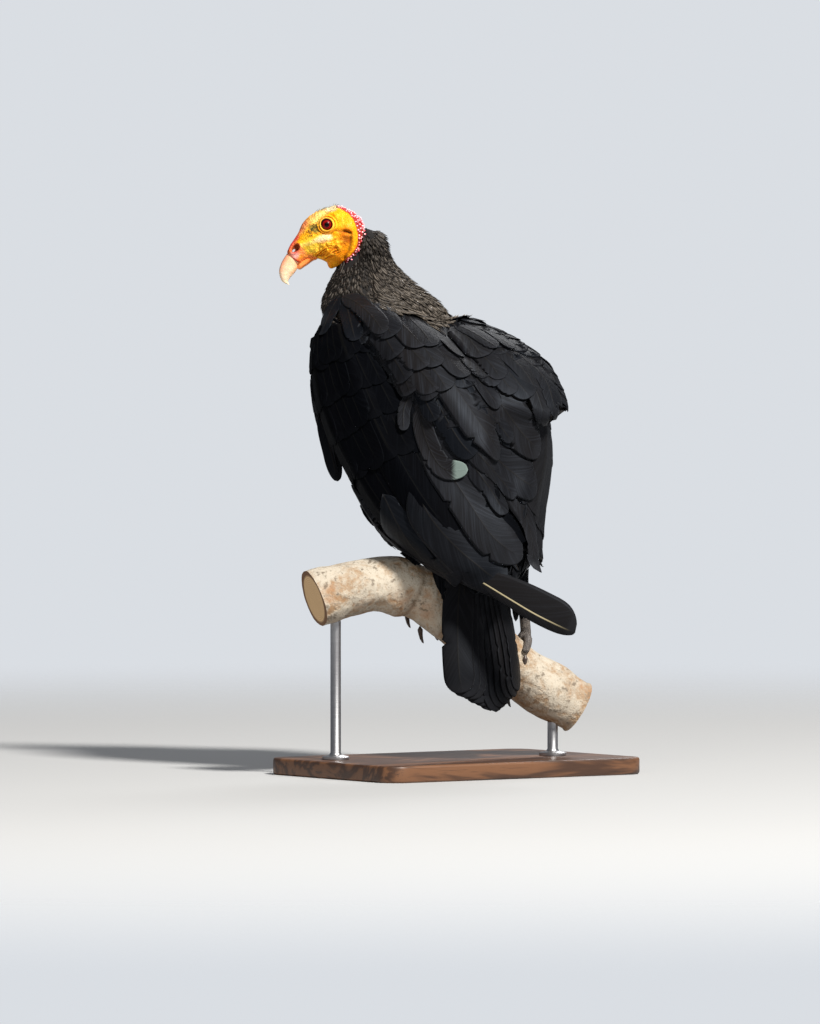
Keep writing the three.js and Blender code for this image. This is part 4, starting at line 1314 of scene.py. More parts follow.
class Plumage:
    """Feathers being gathered for one piece; place() lays some, and piece() makes the mesh."""

    def __init__(self, name, shape, finish, seed):
        self.name, self.shape, self.finish = name, shape, finish
        self.rng = np.random.default_rng(seed)
        self.points, self.vanes, self.edges, self.patches = [], [], [], []

    def place(self, lines, normals, width, tone, wear, outline=rounded_outline, thick=0.16, camber=0.16,
              roll=0.0, narrow=1.0, ragged=0.0, cloth=None, raised=None):
        """Lays feathers along lines (count, steps, 3) with their upper sides to the normals.

        width is the half width; narrow is its share on the right side; roll lifts the right side; camber
        drops both sides, as a share of the width; ragged is the share of the rim that is nicked. With a
        cloth, every corner is laid on it, and raised gives the height over it at the root and at the tip."""
        shape, count = self.shape, len(lines)

        def each(value):
            return np.broadcast_to(np.asarray(value, float), (count,))[:, None]

        width, tone, wear, roll = (each(value) for value in (width, tone, wear, roll))
        middle = spread_lines(lines, shape.stations)
        up = unit(spread_lines(normals, shape.stations))
        length = np.linalg.norm(np.diff(lines, axis=1), axis=2).sum(axis=1)[:, None]
        heading = unit(np.gradient(middle, axis=1))
        up = unit(up - (up * heading).sum(axis=2, keepdims=True) * heading)
        side = np.cross(heading, up)
        tilt = roll[..., None]
        side, up = side * np.cos(tilt) + up * np.sin(tilt), up * np.cos(tilt) - side * np.sin(tilt)
        full = outline(shape.stations)[None] * width
        depth = np.zeros((2,) + full.shape)
        if ragged:
            nicks = self.rng.uniform(0, 1, depth.shape)
            depth = self.rng.uniform(0.06, 0.3, depth.shape) * (nicks < ragged)
            depth[:, :, :3] = 0
        right, left = full * (1 - depth[0]) * narrow, full * (1 - depth[1])
        ring, across = shape.ring, shape.across
        reach = np.where(across > 0, right[:, ring], left[:, ring]) * across
        thin = thick * (1 - 0.45 * shape.stations[ring])
        rise = shape.height * thin - camber * across ** 2 * full[:, ring]
        places, outward = middle[:, ring] + side[:, ring] * reach[..., None], up[:, ring]
        if cloth is not None:
            places, outward = cloth.under(places, outward)
            rise = rise + lifted(raised, count, shape.stations[ring]) + reach * np.tan(roll)
        points = places + outward * rise[..., None]
        across, share, tone, wear = (np.broadcast_to(v, reach.shape)
                                     for v in (across, shape.stations[ring], tone, wear))
        self.points.append(points)
        self.vanes.append(np.stack([reach, share * length, tone], axis=2))
        self.edges.append(np.stack([across, share, wear], axis=2))
        patch = np.stack([across / 2, share - 0.5], axis=2) * BAKE_PATCH
        self.patches.append(skin_unwrap(lines[:, 0])[:, None] + patch)

    def piece(self, slot, *nodes):
        points = np.concatenate(self.points)
        made = array_piece(self.name, points.reshape(-1, 3), self.shape.faces, len(points), self.finish)
        vertex_maps(made.data, "vane", np.concatenate(self.vanes).reshape(-1, 3))
        vertex_maps(made.data, "edge", np.concatenate(self.edges).reshape(-1, 3))
        corners = np.empty(len(made.data.loops), np.int32)
        made.data.loops.foreach_get("vertex_index", corners)
        patches = np.concatenate(self.patches).reshape(-1, 2)[corners]
        unwrap = made.data.uv_layers.new(name="OFBake")
        unwrap.data.foreach_set("uv", patches.astype(np.float32).ravel())
        return dress(made, slot, *nodes)


def skin_reader(piece):
    """Gives the skin's unwrap at its nearest places to some points."""
    mesh = piece.data
    surface = Surface(mesh)
    corners = np.array([t.loops[:] for t in mesh.loop_triangles])
    flat = np.empty(len(mesh.loops) * 2, np.float32)
    mesh.uv_layers["OFBake"].data.foreach_get("uv", flat)
    flat = flat.reshape(-1, 2)

    def read(points):
        places, faces, _ = surface.found(points)
        return (flat[corners[faces]] * surface.shares(places, faces)[..., None]).sum(axis=1)
    return read


# ---- how feathers lie

def flow_along(*middles):
    """A flow that runs as the nearest middle line does, from its first point to its last."""
    fine = [through(middle, np.linspace(0, 1, 60)) for middle in middles]
    places = np.concatenate(fine)
    ways = np.concatenate([unit(np.gradient(line, axis=0)) for line in fine])

    def flow(points):
        nearest = ((points[:, None] - places[None]) ** 2).sum(axis=2).argmin(axis=1)
        return ways[nearest]
    return flow


def laid_lines(surface, roots, flow, length, lift, steps, sway, rng):
    """Lines that follow a surface with the flow; lift is their height over it at the root and at the tip."""
    place, normal, _ = surface.nearest(roots)
    heading = unit(flow(place))
    heading = heading + rng.normal(0, sway, heading.shape)
    lines, normals = [place], [normal]
    step = (np.broadcast_to(length, len(roots)) / steps)[:, None]
    for _ in range(steps):
        heading = unit(heading - (heading * normal).sum(axis=1, keepdims=True) * normal)
        place, normal, _ = surface.nearest(place + heading * step)
        heading = heading * 0.7 + flow(place) * 0.3
        lines.append(place)
        normals.append(normal)
    normals = np.stack(normals, axis=1)
    rise = lifted(lift, len(roots), np.linspace(0, 1, steps + 1))
    return np.stack(lines, axis=1) + normals * rise[..., None], normals


class Drape:
    """A cloth drawn tight over what the viewer sees of some surfaces, so that it bridges their hollows."""

    cell = 3.0
    low, size = np.array([-172.0, 130.0]), np.array([304.0, 370.0])
    back, start = -140.0, 900.0
    bridged_cells = 9

    def __init__(self, surfaces):
        columns, rows = (self.size / self.cell).astype(int)
        depth = np.full((rows, columns), self.back)
        way = Vector((-TO_VIEWER).tolist())
        for i, j in np.ndindex(rows, columns):
            right, up = self.low + np.array([j, i]) * self.cell
            start = Vector((TO_RIGHT * right + UP * up + TO_VIEWER * self.start).tolist())
            for surface in surfaces:
                far = surface.ray_cast(start, way)[3]
                if far is not None:
                    depth[i, j] = max(depth[i, j], self.start - far)
        depth = filtered(filtered(depth, np.maximum, self.bridged_cells), np.minimum, self.bridged_cells)
        for _ in range(4):
            depth = np.pad(depth, 1, "edge")
            depth = (depth[1:-1, :-2] + depth[1:-1, 2:] + depth[:-2, 1:-1] + depth[2:, 1:-1]
                     + 2 * depth[1:-1, 1:-1]) / 6
        self.depth = depth

    def height(self, right, up):
        """The cloth's depth towards the viewer at places seen by the viewer."""
        x, y = (right - self.low[0]) / self.cell, (up - self.low[1]) / self.cell
        rows, columns = self.depth.shape
        x, y = np.clip(x, 0, columns - 1.001), np.clip(y, 0, rows - 1.001)
        i, j = y.astype(int), x.astype(int)
        fx, fy = x - j, y - i
        return ((self.depth[i, j] * (1 - fx) + self.depth[i, j + 1] * fx) * (1 - fy)
                + (self.depth[i + 1, j] * (1 - fx) + self.depth[i + 1, j + 1] * fx) * fy)

    def at(self, right, up):
        """Points of the cloth and its outward ways."""
        cell = self.cell
        near = self.height(right, up)
        slope = self.height(right + cell, up) - self.height(right - cell, up)
        rise = self.height(right, up + cell) - self.height(right, up - cell)
        outward = TO_VIEWER * 2 * cell - TO_RIGHT * slope[..., None] - UP * rise[..., None]
        return TO_RIGHT * right[..., None] + UP * up[..., None] + TO_VIEWER * near[..., None], unit(outward)

    def under(self, points, _):
        """The cloth's points and outward ways where the viewer sees these points."""
        up, rise = points[..., 2], TO_VIEWER[2]
        near = (points @ TO_VIEWER - up * rise) / (1 - rise ** 2)
        return self.at(points @ TO_RIGHT, up - near * rise)


def filtered(grid, choose, reach):
    """Each cell becomes the chosen one of its neighbours within reach."""
    for axis in (0, 1):
        wide = np.pad(grid, [(reach, reach) if a == axis else (0, 0) for a in (0, 1)], "edge")
        size = grid.shape[axis]
        grid = choose.reduce([np.take(wide, np.arange(k, k + size), axis) for k in range(2 * reach + 1)])
    return grid


def face_of(rows, side):
    """A feathered flap's outer face: place(t, v) from root to tip and from lower to upper edge."""
    rows = np.array(rows, float)

    def place(t, v):
        low, mid, high = np.moveaxis(through(rows, t), -2, 0)
        v = np.asarray(v, float)[..., None]
        return mid + v * (high - low) / 2 + v * v * ((low + high) / 2 - mid)

    def normal(t, v):
        down = place(np.minimum(t + 0.01, 1), v) - place(np.maximum(t - 0.01, 0), v)
        over = place(t, v + 0.05) - place(t, v - 0.05)
        return unit(np.cross(over, down)) * side
    return place, normal


def face_lines(face, start, end, steps):
    """Lines over a flap from (t, v) starts to ends, each an array pair, and its normals along them."""
    place, normal = face
    share = np.linspace(0, 1, steps + 1)[None]
    t, v = (np.asarray(a, float)[:, None] * (1 - share) + np.asarray(b, float)[:, None] * share
            for a, b in zip(start, end))
    past = np.maximum(t - 1, 0)[..., None]
    beyond = (place(np.ones_like(t), v) - place(np.full_like(t, 0.98), v)) * past * 50
    return place(t, v) + beyond, normal(t, v)


def make_bristles(skin):
    """Short stiff bristles on the crown and before the eyes."""
    coat = Plumage("bristles", HAIR, BRISTLE, 12)
    rng = coat.rng
    places, normals = sampled(skin, rng, 90000)
    ahead, up, _ = to_head(places)
    near = np.linalg.norm(places - HEAD_AT, axis=1) < 42
    crown = near & (up + 0.62 * ahead > 9.5) & (ahead > -12) & (ahead < 11) & (up > 7)
    lore = near & (line_distance(ahead, up, [(7.5, 1.5), (12, -3), (18, -8.5)]) < 3.6)
    lore &= np.hypot(ahead, up) > 7.6
    places, normals, crown = (values[crown | lore] for values in (places, normals, crown))
    kept = thinned(places, np.where(crown, 1.15, 0.7))
    places, normals, crown = places[kept], normals[kept], crown[kept]
    count = len(places)
    back = -AHEAD * 0.7 + UP * np.where(crown, 0.15, 0.5)[:, None] + rng.normal(0, 0.22, (count, 3))
    way = unit(unit(back) + normals * np.where(crown, 0.75, 0.55)[:, None])
    length = rng.uniform(1.6, 3.2, count)[:, None, None]
    share = np.linspace(-0.15, 1, 5)[None, :, None]
    bend = (way - normals * 0.5)[:, None] * share ** 2 * 0.35
    lines = places[:, None] + (way[:, None] * share + bend) * length
    coat.place(lines, np.repeat(normals[:, None], 5, 1), 0.2, np.where(crown, rng.uniform(0, 1, count), 0.05),
               rng.uniform(0, 1, count), thick=0.14, camber=0.0)
    return coat.piece("face")


# ---- coats, tract by tract

def outer_places(guide, nodes, rng, count, reach=3.5):
    """Random places on some nodes that lie on the outside of the whole form."""
    source = piece_from(merged_nodes(*nodes), "source")
    places, _ = sampled(source, rng, count)
    removed(source)
    near, _, gaps = guide.nearest(places)
    return near[gaps < reach]


def above_cape(points):
    """How far up points lie from the sloping line where the neck's feathers meet the cape."""
    return points[..., 2] - 425 + 0.2 * (points @ TO_RIGHT)


def hood(guide):
    """Short, fine, brownish-black feathers of the neck, rising to a peak behind the head."""
    coat = Plumage("hood_feathers", HAIR, HOOD, 21)
    rng = coat.rng
    roots = outer_places(guide, ["neck"], rng, 120000, reach=4.0)
    ahead, up, _ = to_head(roots)
    share, within = band_share(ahead, up)
    roots = roots[(share > 1.0 - 0.2 * eased(-24, -30, up)) | (ahead < -40) | (up < -30) & (within < 0.5)]
    shoulders = outer_places(guide, ["scapulars_left", "scapulars_right"], rng, 40000)
    shoulders = shoulders[(above_cape(shoulders) > 7) & (shoulders @ TO_RIGHT < -14)]
    roots = np.concatenate([shoulders, roots])
    down = eased(515, 405, roots[:, 2])
    kept = thinned(roots, 2.0 + 2.2 * down)
    roots, down, count = roots[kept], down[kept], len(kept)
    size = rng.uniform(0.8, 1.25, count)
    length = (11 + 14 * down) * size
    front = eased(-84, -92, roots @ TO_RIGHT) * eased(395, 412, roots[:, 2]) * 3.5
    peak = nape_peak(*to_head(roots)[:2])
    low_edge = eased(30, 14, above_cape(roots)) * eased(-10, 10, roots @ TO_VIEWER) * 2.5
    back = eased(-80, -45, roots @ TO_RIGHT) * eased(415, 440, roots[:, 2])
    tips = rng.uniform(-0.9, 0.2, count) - front + peak * 5.5 + back * 2.5 + low_edge
    lines, normals = laid_lines(guide, roots, flow_along(NECK_SPINE), length,
                                (-2.6 - front + peak * 4.5, tips), 5, 0.12, rng)
    # Painted light: the hood's feathers grow paler towards the viewer's right, where the light falls on the
    # neck.
    tone = np.clip(rng.normal(0.09, 0.13, count) + 0.85 * eased(-112, -55, roots @ TO_RIGHT), 0, 1)
    coat.place(lines, normals, (1.7 + 1.8 * down) * size, tone, rng.uniform(0, 1, count), camber=0.2,
               roll=rng.normal(0, 0.1, count))
    near, _ = sampled(skin, rng, 90000)
    ahead, up, _ = to_head(near)
    near = near[(band_share(ahead, up)[0] > 1.05) & (ahead < -8)
                & (np.linalg.norm(near - HEAD_AT, axis=1) < 54)]
    near = near[thinned(near, 1.9)]
    lines, normals = laid_lines(Surface(skin.data), near, flow_along(NECK_SPINE), 10, (-0.7, 1.3), 5, 0.12,
                                rng)
    coat.place(lines, normals, 1.7, rng.uniform(0, 0.35, len(near)), 0.5, camber=0.2)
    return coat.piece("plumage")


# The turn between one feather and the next round a knee, which never comes back to the same place.
GOLDEN_TURN = 2.4


def body_coat(guide):
    """Rounded contour feathers of breast, belly, flanks and back, and the ruffs that hang over the knees."""
    coat = Plumage("body_feathers", SMALL, PLUMAGE, 22)
    rng = coat.rng
    roots = outer_places(guide, ["trunk", "thigh_left", "thigh_right"], rng, 50000)
    for name in SIDES:
        roots = roots[node_surface("scapulars_" + name).nearest(roots)[2] > 12]
    roots = roots[thinned(roots, 8.0 + 2.0 * (roots[:, 2] > 300))]
    count = len(roots)
    size = rng.uniform(0.88, 1.15, count)
    low = eased(300, 220, roots[:, 2])
    lines, normals = laid_lines(guide, roots, flow_along(TRUNK_SPINE, LEFT_THIGH, RIGHT_THIGH),
                                (33 - 7 * low) * size, (-3.4, rng.uniform(0.3, 1.8, count)), 7, 0.1, rng)
    coat.place(lines, normals, (9.5 - 2.0 * low) * size, rng.uniform(0.15, 0.75, count),
               rng.uniform(0, 0.8, count), roll=rng.normal(0, 0.07, count), camber=0.1)
    turn = np.arange(28) * GOLDEN_TURN
    ring = np.stack([np.cos(turn), np.sin(turn), turn * 0], axis=1)[:, None]
    share = np.linspace(0, 1, 6)[None, :, None]
    for knee in (LEFT_THIGH[-1], RIGHT_THIGH[-1]):
        drop = UP * (share * (46 + rng.uniform(-8, 6, 28))[:, None, None] - 6)
        coat.place(np.array(knee) + ring * (9 - 3.5 * share) - drop, ring.repeat(6, 1), 5.5,
                   rng.uniform(0.1, 0.6, 28), 0.5)
    return coat.piece("plumage")


SIDES = {
    "left": {"side": 1, "wing": WING, "quills": QUILLS, "cape": CAPE, "cape_tip": 0.86},
    "right": {"side": -1, "wing": RIGHT_WING, "quills": RIGHT_QUILLS, "cape": RIGHT_CAPE, "cape_tip": 0.84},
}


def node_surface(name):
    """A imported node's own surface, to wrap feathers round."""
    source = piece_from(merged_nodes(name), "source")
    surface = Surface(source.data)
    removed(source)
    return surface


# How far quills stray from their even places across a flap, in shares.
SPREAD = 0.012


def folded_rank(coat, face, wrap, count, start, end, width, lift, roll, ragged=0.0, tone=(0.2, 0.6),
                narrow=0.7, outline=quill_outline, steps=15):
    """A rank of overlapping quills across a flap, from its lower edge up, wrapped round its surface; start
    and end are (t, v) at the lowest and the highest feather, as ((t, t), (v, v))."""
    rng = coat.rng
    share = np.linspace(0, 1, count)

    def between(ends, jitter):
        return ends[0] + (ends[1] - ends[0]) * share + rng.uniform(-jitter, jitter, count)

    starts = between(start[0], SPREAD), between(start[1], SPREAD)
    ends = between(end[0], SPREAD), between(end[1], SPREAD * 2)
    lifts = between(lift[0], 0.1), between(lift[1], 0.4)
    lines, normals = face_lines(face, starts, ends, steps)
    coat.place(lines, normals, between(width, 0.6), rng.uniform(*tone, count), rng.uniform(0, 0.8, count),
               outline=outline, roll=roll + rng.normal(0, 0.01, count), narrow=narrow, camber=0.02,
               ragged=ragged, cloth=wrap, raised=lifts)


def flight_feathers(name, tract):
    """Secondaries, tertials and their greater coverts, laid rank over rank on the folded wing."""
    side = tract["side"]
    # The left wing's flight feathers take the quill copy with painted shade.
    coat = Plumage("flight_feathers_" + name, LARGE, QUILL if side < 0 else SHADE_PAINTED_QUILL, 31 + side)
    face, wrap = face_of(tract["wing"], side), node_surface("wing_" + name)
    folded_rank(coat, face, wrap, 9, ((0.4, 0.5), (-0.9, 0.8)), ((1.0, 1.0), (-0.86, 0.86)), (23, 27),
                ((-4.5, -3), (-3.0, -0.6)), 0.03 * side, 0.04)
    folded_rank(coat, face, wrap, 4, ((0.4, 0.36), (0.4, 0.9)), ((0.88, 0.8), (0.36, 0.9)), (24, 26),
                ((-1.8, -0.8), (-0.4, 0.4)), 0.03 * side, 0.05, (0.4, 0.8))
    for count, first, last, width, root, tip in (
            (11, (0.28, 0.3), (0.66, 0.6), (18, 20), (-3.6, -2.4), (-1.6, -0.4)),
            (12, (0.2, 0.21), (0.52, 0.47), (16, 18), (-3.4, -2.3), (-1.3, -0.2)),
            (13, (0.1, 0.12), (0.39, 0.36), (15, 16), (-3.2, -2.2), (-0.9, 0.0)),
            (14, (0.01, 0.03), (0.26, 0.24), (13, 14), (-2.8, -2.0), (-0.5, 0.3))):
        folded_rank(coat, face, wrap, count, (first, (-0.9, 0.85)), (last, (-0.9, 0.85)), width, (root, tip),
                    0.012 * side, 0.03, outline=lambda s: rounded_outline(s, 0.3, 0.26))
    return coat.piece("quill")


# Shafts of the left wing tip, which shows across the tail, and of the feather that hangs from the left wrist:
# right, up and near as the viewer sees them.
WING_TIP = [(8, 188, 68), (20, 181, 76), (43, 167, 85), (65, 154, 90), (87, 143, 93), (103, 136, 94)]
ALULA_TIP = [(-136, 352, -38), (-132, 326, -32), (-127, 305, -28), (-121, 279, -25)]


def seen_line(rows):
    """One feather's line and normals from its shaft as the viewer sees it."""
    shaft = through(rows, np.linspace(0, 1, 24))
    line = TO_RIGHT * shaft[:, :1] + UP * shaft[:, 1:2] + TO_VIEWER * shaft[:, 2:]
    return line[None], np.broadcast_to(TO_VIEWER, (1, 24, 3))


def primaries(name, tract):
    """The folded wing tip: primaries stepping back under the secondaries, and on the left one more that shows
    across the tail.
    """
    side = tract["side"]
    coat = Plumage("primary_feathers_" + name, LARGE, QUILL, 41 + side)
    folded_rank(coat, face_of(tract["quills"], side), node_surface("primaries_" + name), 6,
                ((0.0, 0.0), (-0.6, 0.7)), ((1.0, 0.72), (-0.2, 0.5)), (19, 19), ((-4.5, -3), (-1.6, -0.2)),
                0.02 * side, 0.05, outline=primary_outline, narrow=0.45, steps=24)
    if side > 0:
        coat.place(*seen_line(WING_TIP), 24, 0.5, 2.9, roll=-0.1, narrow=0.34, camber=0.1,
                   outline=lambda s: rounded_outline(s, 0.65, 0.3, 1.9))
    return coat.piece("quill", "primaries_" + name)


def cape_feathers(guide, name, tract):
    """Scapulars: broad, rounded feathers with dust and painted sheen, that hang over the folded wing, rank
    over rank.
    """
    side = tract["side"]
    coat = Plumage("cape_feathers_" + name, MIDDLING, MANTLE, 51 + side)
    rng = coat.rng
    face = face_of(tract["cape"], side)
    place, _ = face
    t, v = rng.uniform(0.02, 0.8, 5000), rng.uniform(-0.94, 0.94, 5000)
    kept = thinned(place(t, v), 9.5 + 5 * t)
    t, v = t[kept], v[kept]
    count = len(t)
    size = rng.uniform(0.85, 1.15, count)
    stretch = np.linalg.norm(place(t + 0.01, v) - place(t, v), axis=1) * 100
    length = (36 + 30 * t) * size
    tip = np.minimum(t + length / stretch, tract["cape_tip"] - 0.05 * rng.uniform(0, 1, count))
    aside = np.clip(v + rng.normal(0, 0.08, count), -0.97, 0.97)
    lines, normals = face_lines(face, (t, v), (tip, aside), 9)
    smooth = guide.nearest(lines.reshape(-1, 3))[2].reshape(count, -1).max(axis=1) < 5
    smooth &= (above_cape(lines[:, 0]) < 3) | (lines[:, 0] @ TO_RIGHT > -18)
    lines, normals, t, size = (values[smooth] for values in (lines, normals, t, size))
    count = len(t)
    coat.place(lines, normals, (15 + 7 * t) * size, np.clip(rng.normal(0.6, 0.28, count), 0, 1),
               rng.uniform(0, 0.8, count) ** 1.5, roll=rng.normal(0, 0.015, count), camber=0.02, ragged=0.03,
               cloth=guide, raised=(-3.4, rng.uniform(-0.7, 0.4, count)), thick=0.13)
    return coat.piece("mantle", "scapulars_" + name)


# Long feathers that show singly from behind: their shafts from root to tip as seen by the viewer
# (right, up, right, up, ...), then half width, tone and wear.
HERO_FEATHERS = [
    (-79, 267, -58, 228, -31, 199, -2, 190, 20, 0.12, 0.1),
    (-50, 277, -31, 242, 0, 209, 37, 181, 22, 0.3, 0.4),
    (20, 318, 40, 284, 56, 250, 62, 220, 63, 194, 18, 0.7, 0.7),
    (-45, 334, -22, 298, 2, 261, 25, 227, 52, 206, 22, 0.6, 0.6),
    (-18, 352, 10, 322, 33, 297, 52, 281, 66, 271, 21, 0.6, 0.4),
    (-6, 408, 24, 366, 50, 329, 69, 306, 20, 0.7, 0.6),
    (-12, 427, 5, 410, 22, 392, 34, 374, 13, 0.7, 0.4),
    (-8, 328, 14, 303, 32, 281, 46, 262, 13, 0.6, 0.4),
    (-16, 420, -3, 402, 8, 388, 18, 375, 14, 0.9, 0.3),
    (8, 424, 37, 403, 62, 374, 76, 334, 13, 0.35, 0.9),
    (27, 418, 55, 397, 76, 374, 85, 340, 12, 0.3, 0.6),
    (27, 398, 43, 380, 61, 357, 17, 0.45, 0.2),
    (-40, 366, -42, 337, -33, 308, -19, 290, 3, 290, 11, 1.0, 1.5),
    (-52, 362, -58, 347, -58, 326, 6.5, 0.6, 0.8),
    (-30, 400, -8, 366, 12, 335, 31, 305, 24, 0.65, 0.8),
    (-34, 372, -22, 345, -6, 318, 8, 302, 14, 0.0, 0.0),
    (-4, 386, 14, 360, 32, 334, 48, 312, 13, 0.05, 0.0),
    # The next two lie on the shaded left shoulder; a tone near 0 paints them dark as painted shade.
    (-121, 457, -129, 440, -136, 418, 9, 0.06, 0.0),
    (-115, 453, -110, 436, -104, 412, 10, 0.0, 0.0),
    (-118, 457, -104, 450, -88, 435, -76, 418, 11, 0.9, 0.5),
    (2, 300, 20, 276, 36, 246, 12, 0.5, 0.4),
    (-8, 408, 10, 390, 30, 368, 13, 0.75, 0.4),
    (10, 406, 28, 386, 45, 360, 12, 0.6, 0.5),
    (-52, 392, -42, 376, -30, 356, 12, 0.6, 0.4),
    (12, 354, 28, 337, 43, 316, 9, 0.4, 0.4),
    (0, 390, 14, 372, 31, 348, 13, 0.6, 0.4),
    (-46, 374, -38, 356, -27, 336, 10, 0.2, 0.2),
    (-10, 431, 9, 420, 30, 404, 10, 0.6, 0.5),
    (4, 431, 26, 420, 46, 403, 9, 0.4, 0.5),
    (-83, 422, -69, 397, -56, 374, -50, 361, 14.5, 0.8, 0.9),
]
# The upper cape, with dust and painted sheen: rows of broad feathers, each by its first root, its count and
# how they step.
for first, up, count in ((-90, 427, 5), (-80, 405, 3), (-94, 446, 5)):
    for k in range(count):
        right, high = first + 20 * k + (0, 4, -3)[k % 3], up - 5 * k + (3, -2)[k % 2]
        HERO_FEATHERS.append((right, high, right + 14, high - 15, right + 26 + k % 2 * 4, high - 34,
                              (15, 17, 13.5)[k % 3], (0.6, 0.95, 0.8)[k % 3], (0.4, 0.9)[k % 2]))


def hero_feathers(*coats):
    """The long scapulars and tertials that catch the light, each over the root of the next one down."""
    coat = Plumage("hero_feathers", LARGE, MANTLE, 81)
    rng = coat.rng
    cloth = Drape([guide.tree] + [Surface(piece.data).tree for piece in coats])
    share = np.linspace(0, 1, 15)
    for *shaft, width, tone, wear in HERO_FEATHERS:
        path = through(np.reshape(shaft, (-1, 2)), share)
        lines, normals = cloth.at(path[:, 0], path[:, 1])
        coat.place(lines[None], normals[None], width, tone, wear,
                   outline=lambda s: rounded_outline(s, 0.3, 0.24, 2.2), roll=0.05 + rng.normal(0, 0.02),
                   narrow=0.9, camber=0.03, ragged=0.04, thick=0.2, cloth=cloth,
                   raised=(-1.5, 3.0 if tone > 0.1 else 0.8))
    return coat.piece("mantle")


def alula_feathers(name, tract):
    """The little stack of stiff feathers at the wrist."""
    side = tract["side"]
    slump = 0 if side > 0 else 20
    rows = [tuple((side * x, y, z - slump * (1 - i / 5)) for x, y, z in row) for i, row in enumerate(ALULA)]
    coat = Plumage("alula_feathers_" + name, LARGE, QUILL, 61 + side)
    folded_rank(coat, face_of(rows, side), node_surface("alula_" + name), 5, ((0.0, 0.1), (-0.7, 0.7)),
                ((1.0, 0.86), (-0.4, 0.7)), (17, 14), ((-1.5, -1), (-0.6, 0.2)), 0.03 * side, narrow=1,
                outline=lambda s: rounded_outline(s, 0.3, 0.36))
    if side > 0:
        coat.place(*seen_line(ALULA_TIP), 8, 0.3, 0.2, outline=lambda s: rounded_outline(s, 0.3, 0.3))
    return coat.piece("quill", "alula_" + name)


def tail_feathers():
    """Twelve tail feathers, the middle pair on top, with tattered tips."""
    coat = Plumage("tail_feathers", LARGE, QUILL, 71)
    rng = coat.rng
    share = np.linspace(0, 1, 16)
    middle, size = through(TAIL_SPINE, share), through(TAIL_SIZE, share)
    lines = []
    for step in range(6, 0, -1):
        for side in (-1, 1):
            place = side * (step - 0.5) / 6 * 0.97
            length = 1 - 0.012 * step ** 1.3 + rng.uniform(-0.01, 0.01)
            line = middle.copy()
            line[:, 0] += place * size[:, 0] * (0.5 + 0.58 * share) - 3
            line[:, 1] += size[:, 1] * np.sqrt(1 - place ** 2) + 0.7 * (6 - step) / 3 - 2.7
            lines.append(line[0] + (line - line[0]) * length)
    lines = np.array(lines)
    normals = np.broadcast_to([0.0, 1.0, 0.25], lines.shape).copy()
    normals[..., 0] += lines[..., 0] / 60
    coat.place(lines, normals, 15, rng.uniform(0.2, 0.6, len(lines)), rng.uniform(0.2, 0.9, len(lines)),
               outline=quill_outline, roll=-0.1 * np.sign(lines[:, -1, 0]), ragged=0.06)
    return coat.piece("quill", "tail")


# ---- perch, claws and stand

# Old growth collars along the branch: distance from its middle and how far they swell.
COLLARS = [(-136, 0.04), (-60, 0.09), (-20, 0.03), (30, 0.04), (92, 0.05)]
# Shares of the branch's length: each sawn end's on the grid, and what is cut off the middle line's ends.
SAWN_SHARE = 0.05
TRIM = 0.03
SAWN_DEPTH = 0.4
PERCH_FRONT = np.array([-math.sin(PERCH_TURN), -math.cos(PERCH_TURN), 0.0])


def branch_axis(share):
    """The branch's middle at shares of its length, and its radius there without bark."""
    rows = through(BRANCH, TRIM + (1 - 2 * TRIM) * share)
    along, up, girth = rows.T
    points = np.stack([-math.cos(PERCH_TURN) * along, PERCH_SET_BACK + math.sin(PERCH_TURN) * along, up],
                      axis=1)
    for place, swell in COLLARS:
        girth = girth + swell * (bell(along, place, 15) - 0.45 * bell(along, place + 17, 7))
    return points, along, girth * PERCH_RADIUS


def branch_form(t, angle):
    """The branch's surface: two flat sawn ends and the knotty bark between them."""
    share = np.clip((t - SAWN_SHARE) / (1 - 2 * SAWN_SHARE), 0, 1)
    points, along, radius = branch_axis(share)
    ahead, _, _ = branch_axis(np.minimum(share + 0.01, 1))
    behind, _, _ = branch_axis(np.maximum(share - 0.01, 0))
    way = unit(ahead - behind)
    over = np.cross(way, PERCH_FRONT)
    around = np.stack([along * 0.6, np.cos(angle) * 25, np.sin(angle) * 25], axis=1)
    knots = 0.03 * np.sin(11 * share + 2 * angle) + 0.025 * np.sin(27 * share - 3 * angle)
    rough = sum(fine_noise(around, size) * depth
                for size, depth in ((26.0, 0.05), (9.0, 0.024), (3.6, 0.012)))
    radius = radius * (1 + knots + rough)
    end = np.minimum(t, 1 - t) / SAWN_SHARE
    radius = radius * np.clip(end, 0, 1) ** 0.5 - 1.2 * eased(2.2, 1.0, end) * (end >= 1)
    return points + PERCH_FRONT * (radius * np.cos(angle))[:, None] + over * (radius * np.sin(angle))[:, None]


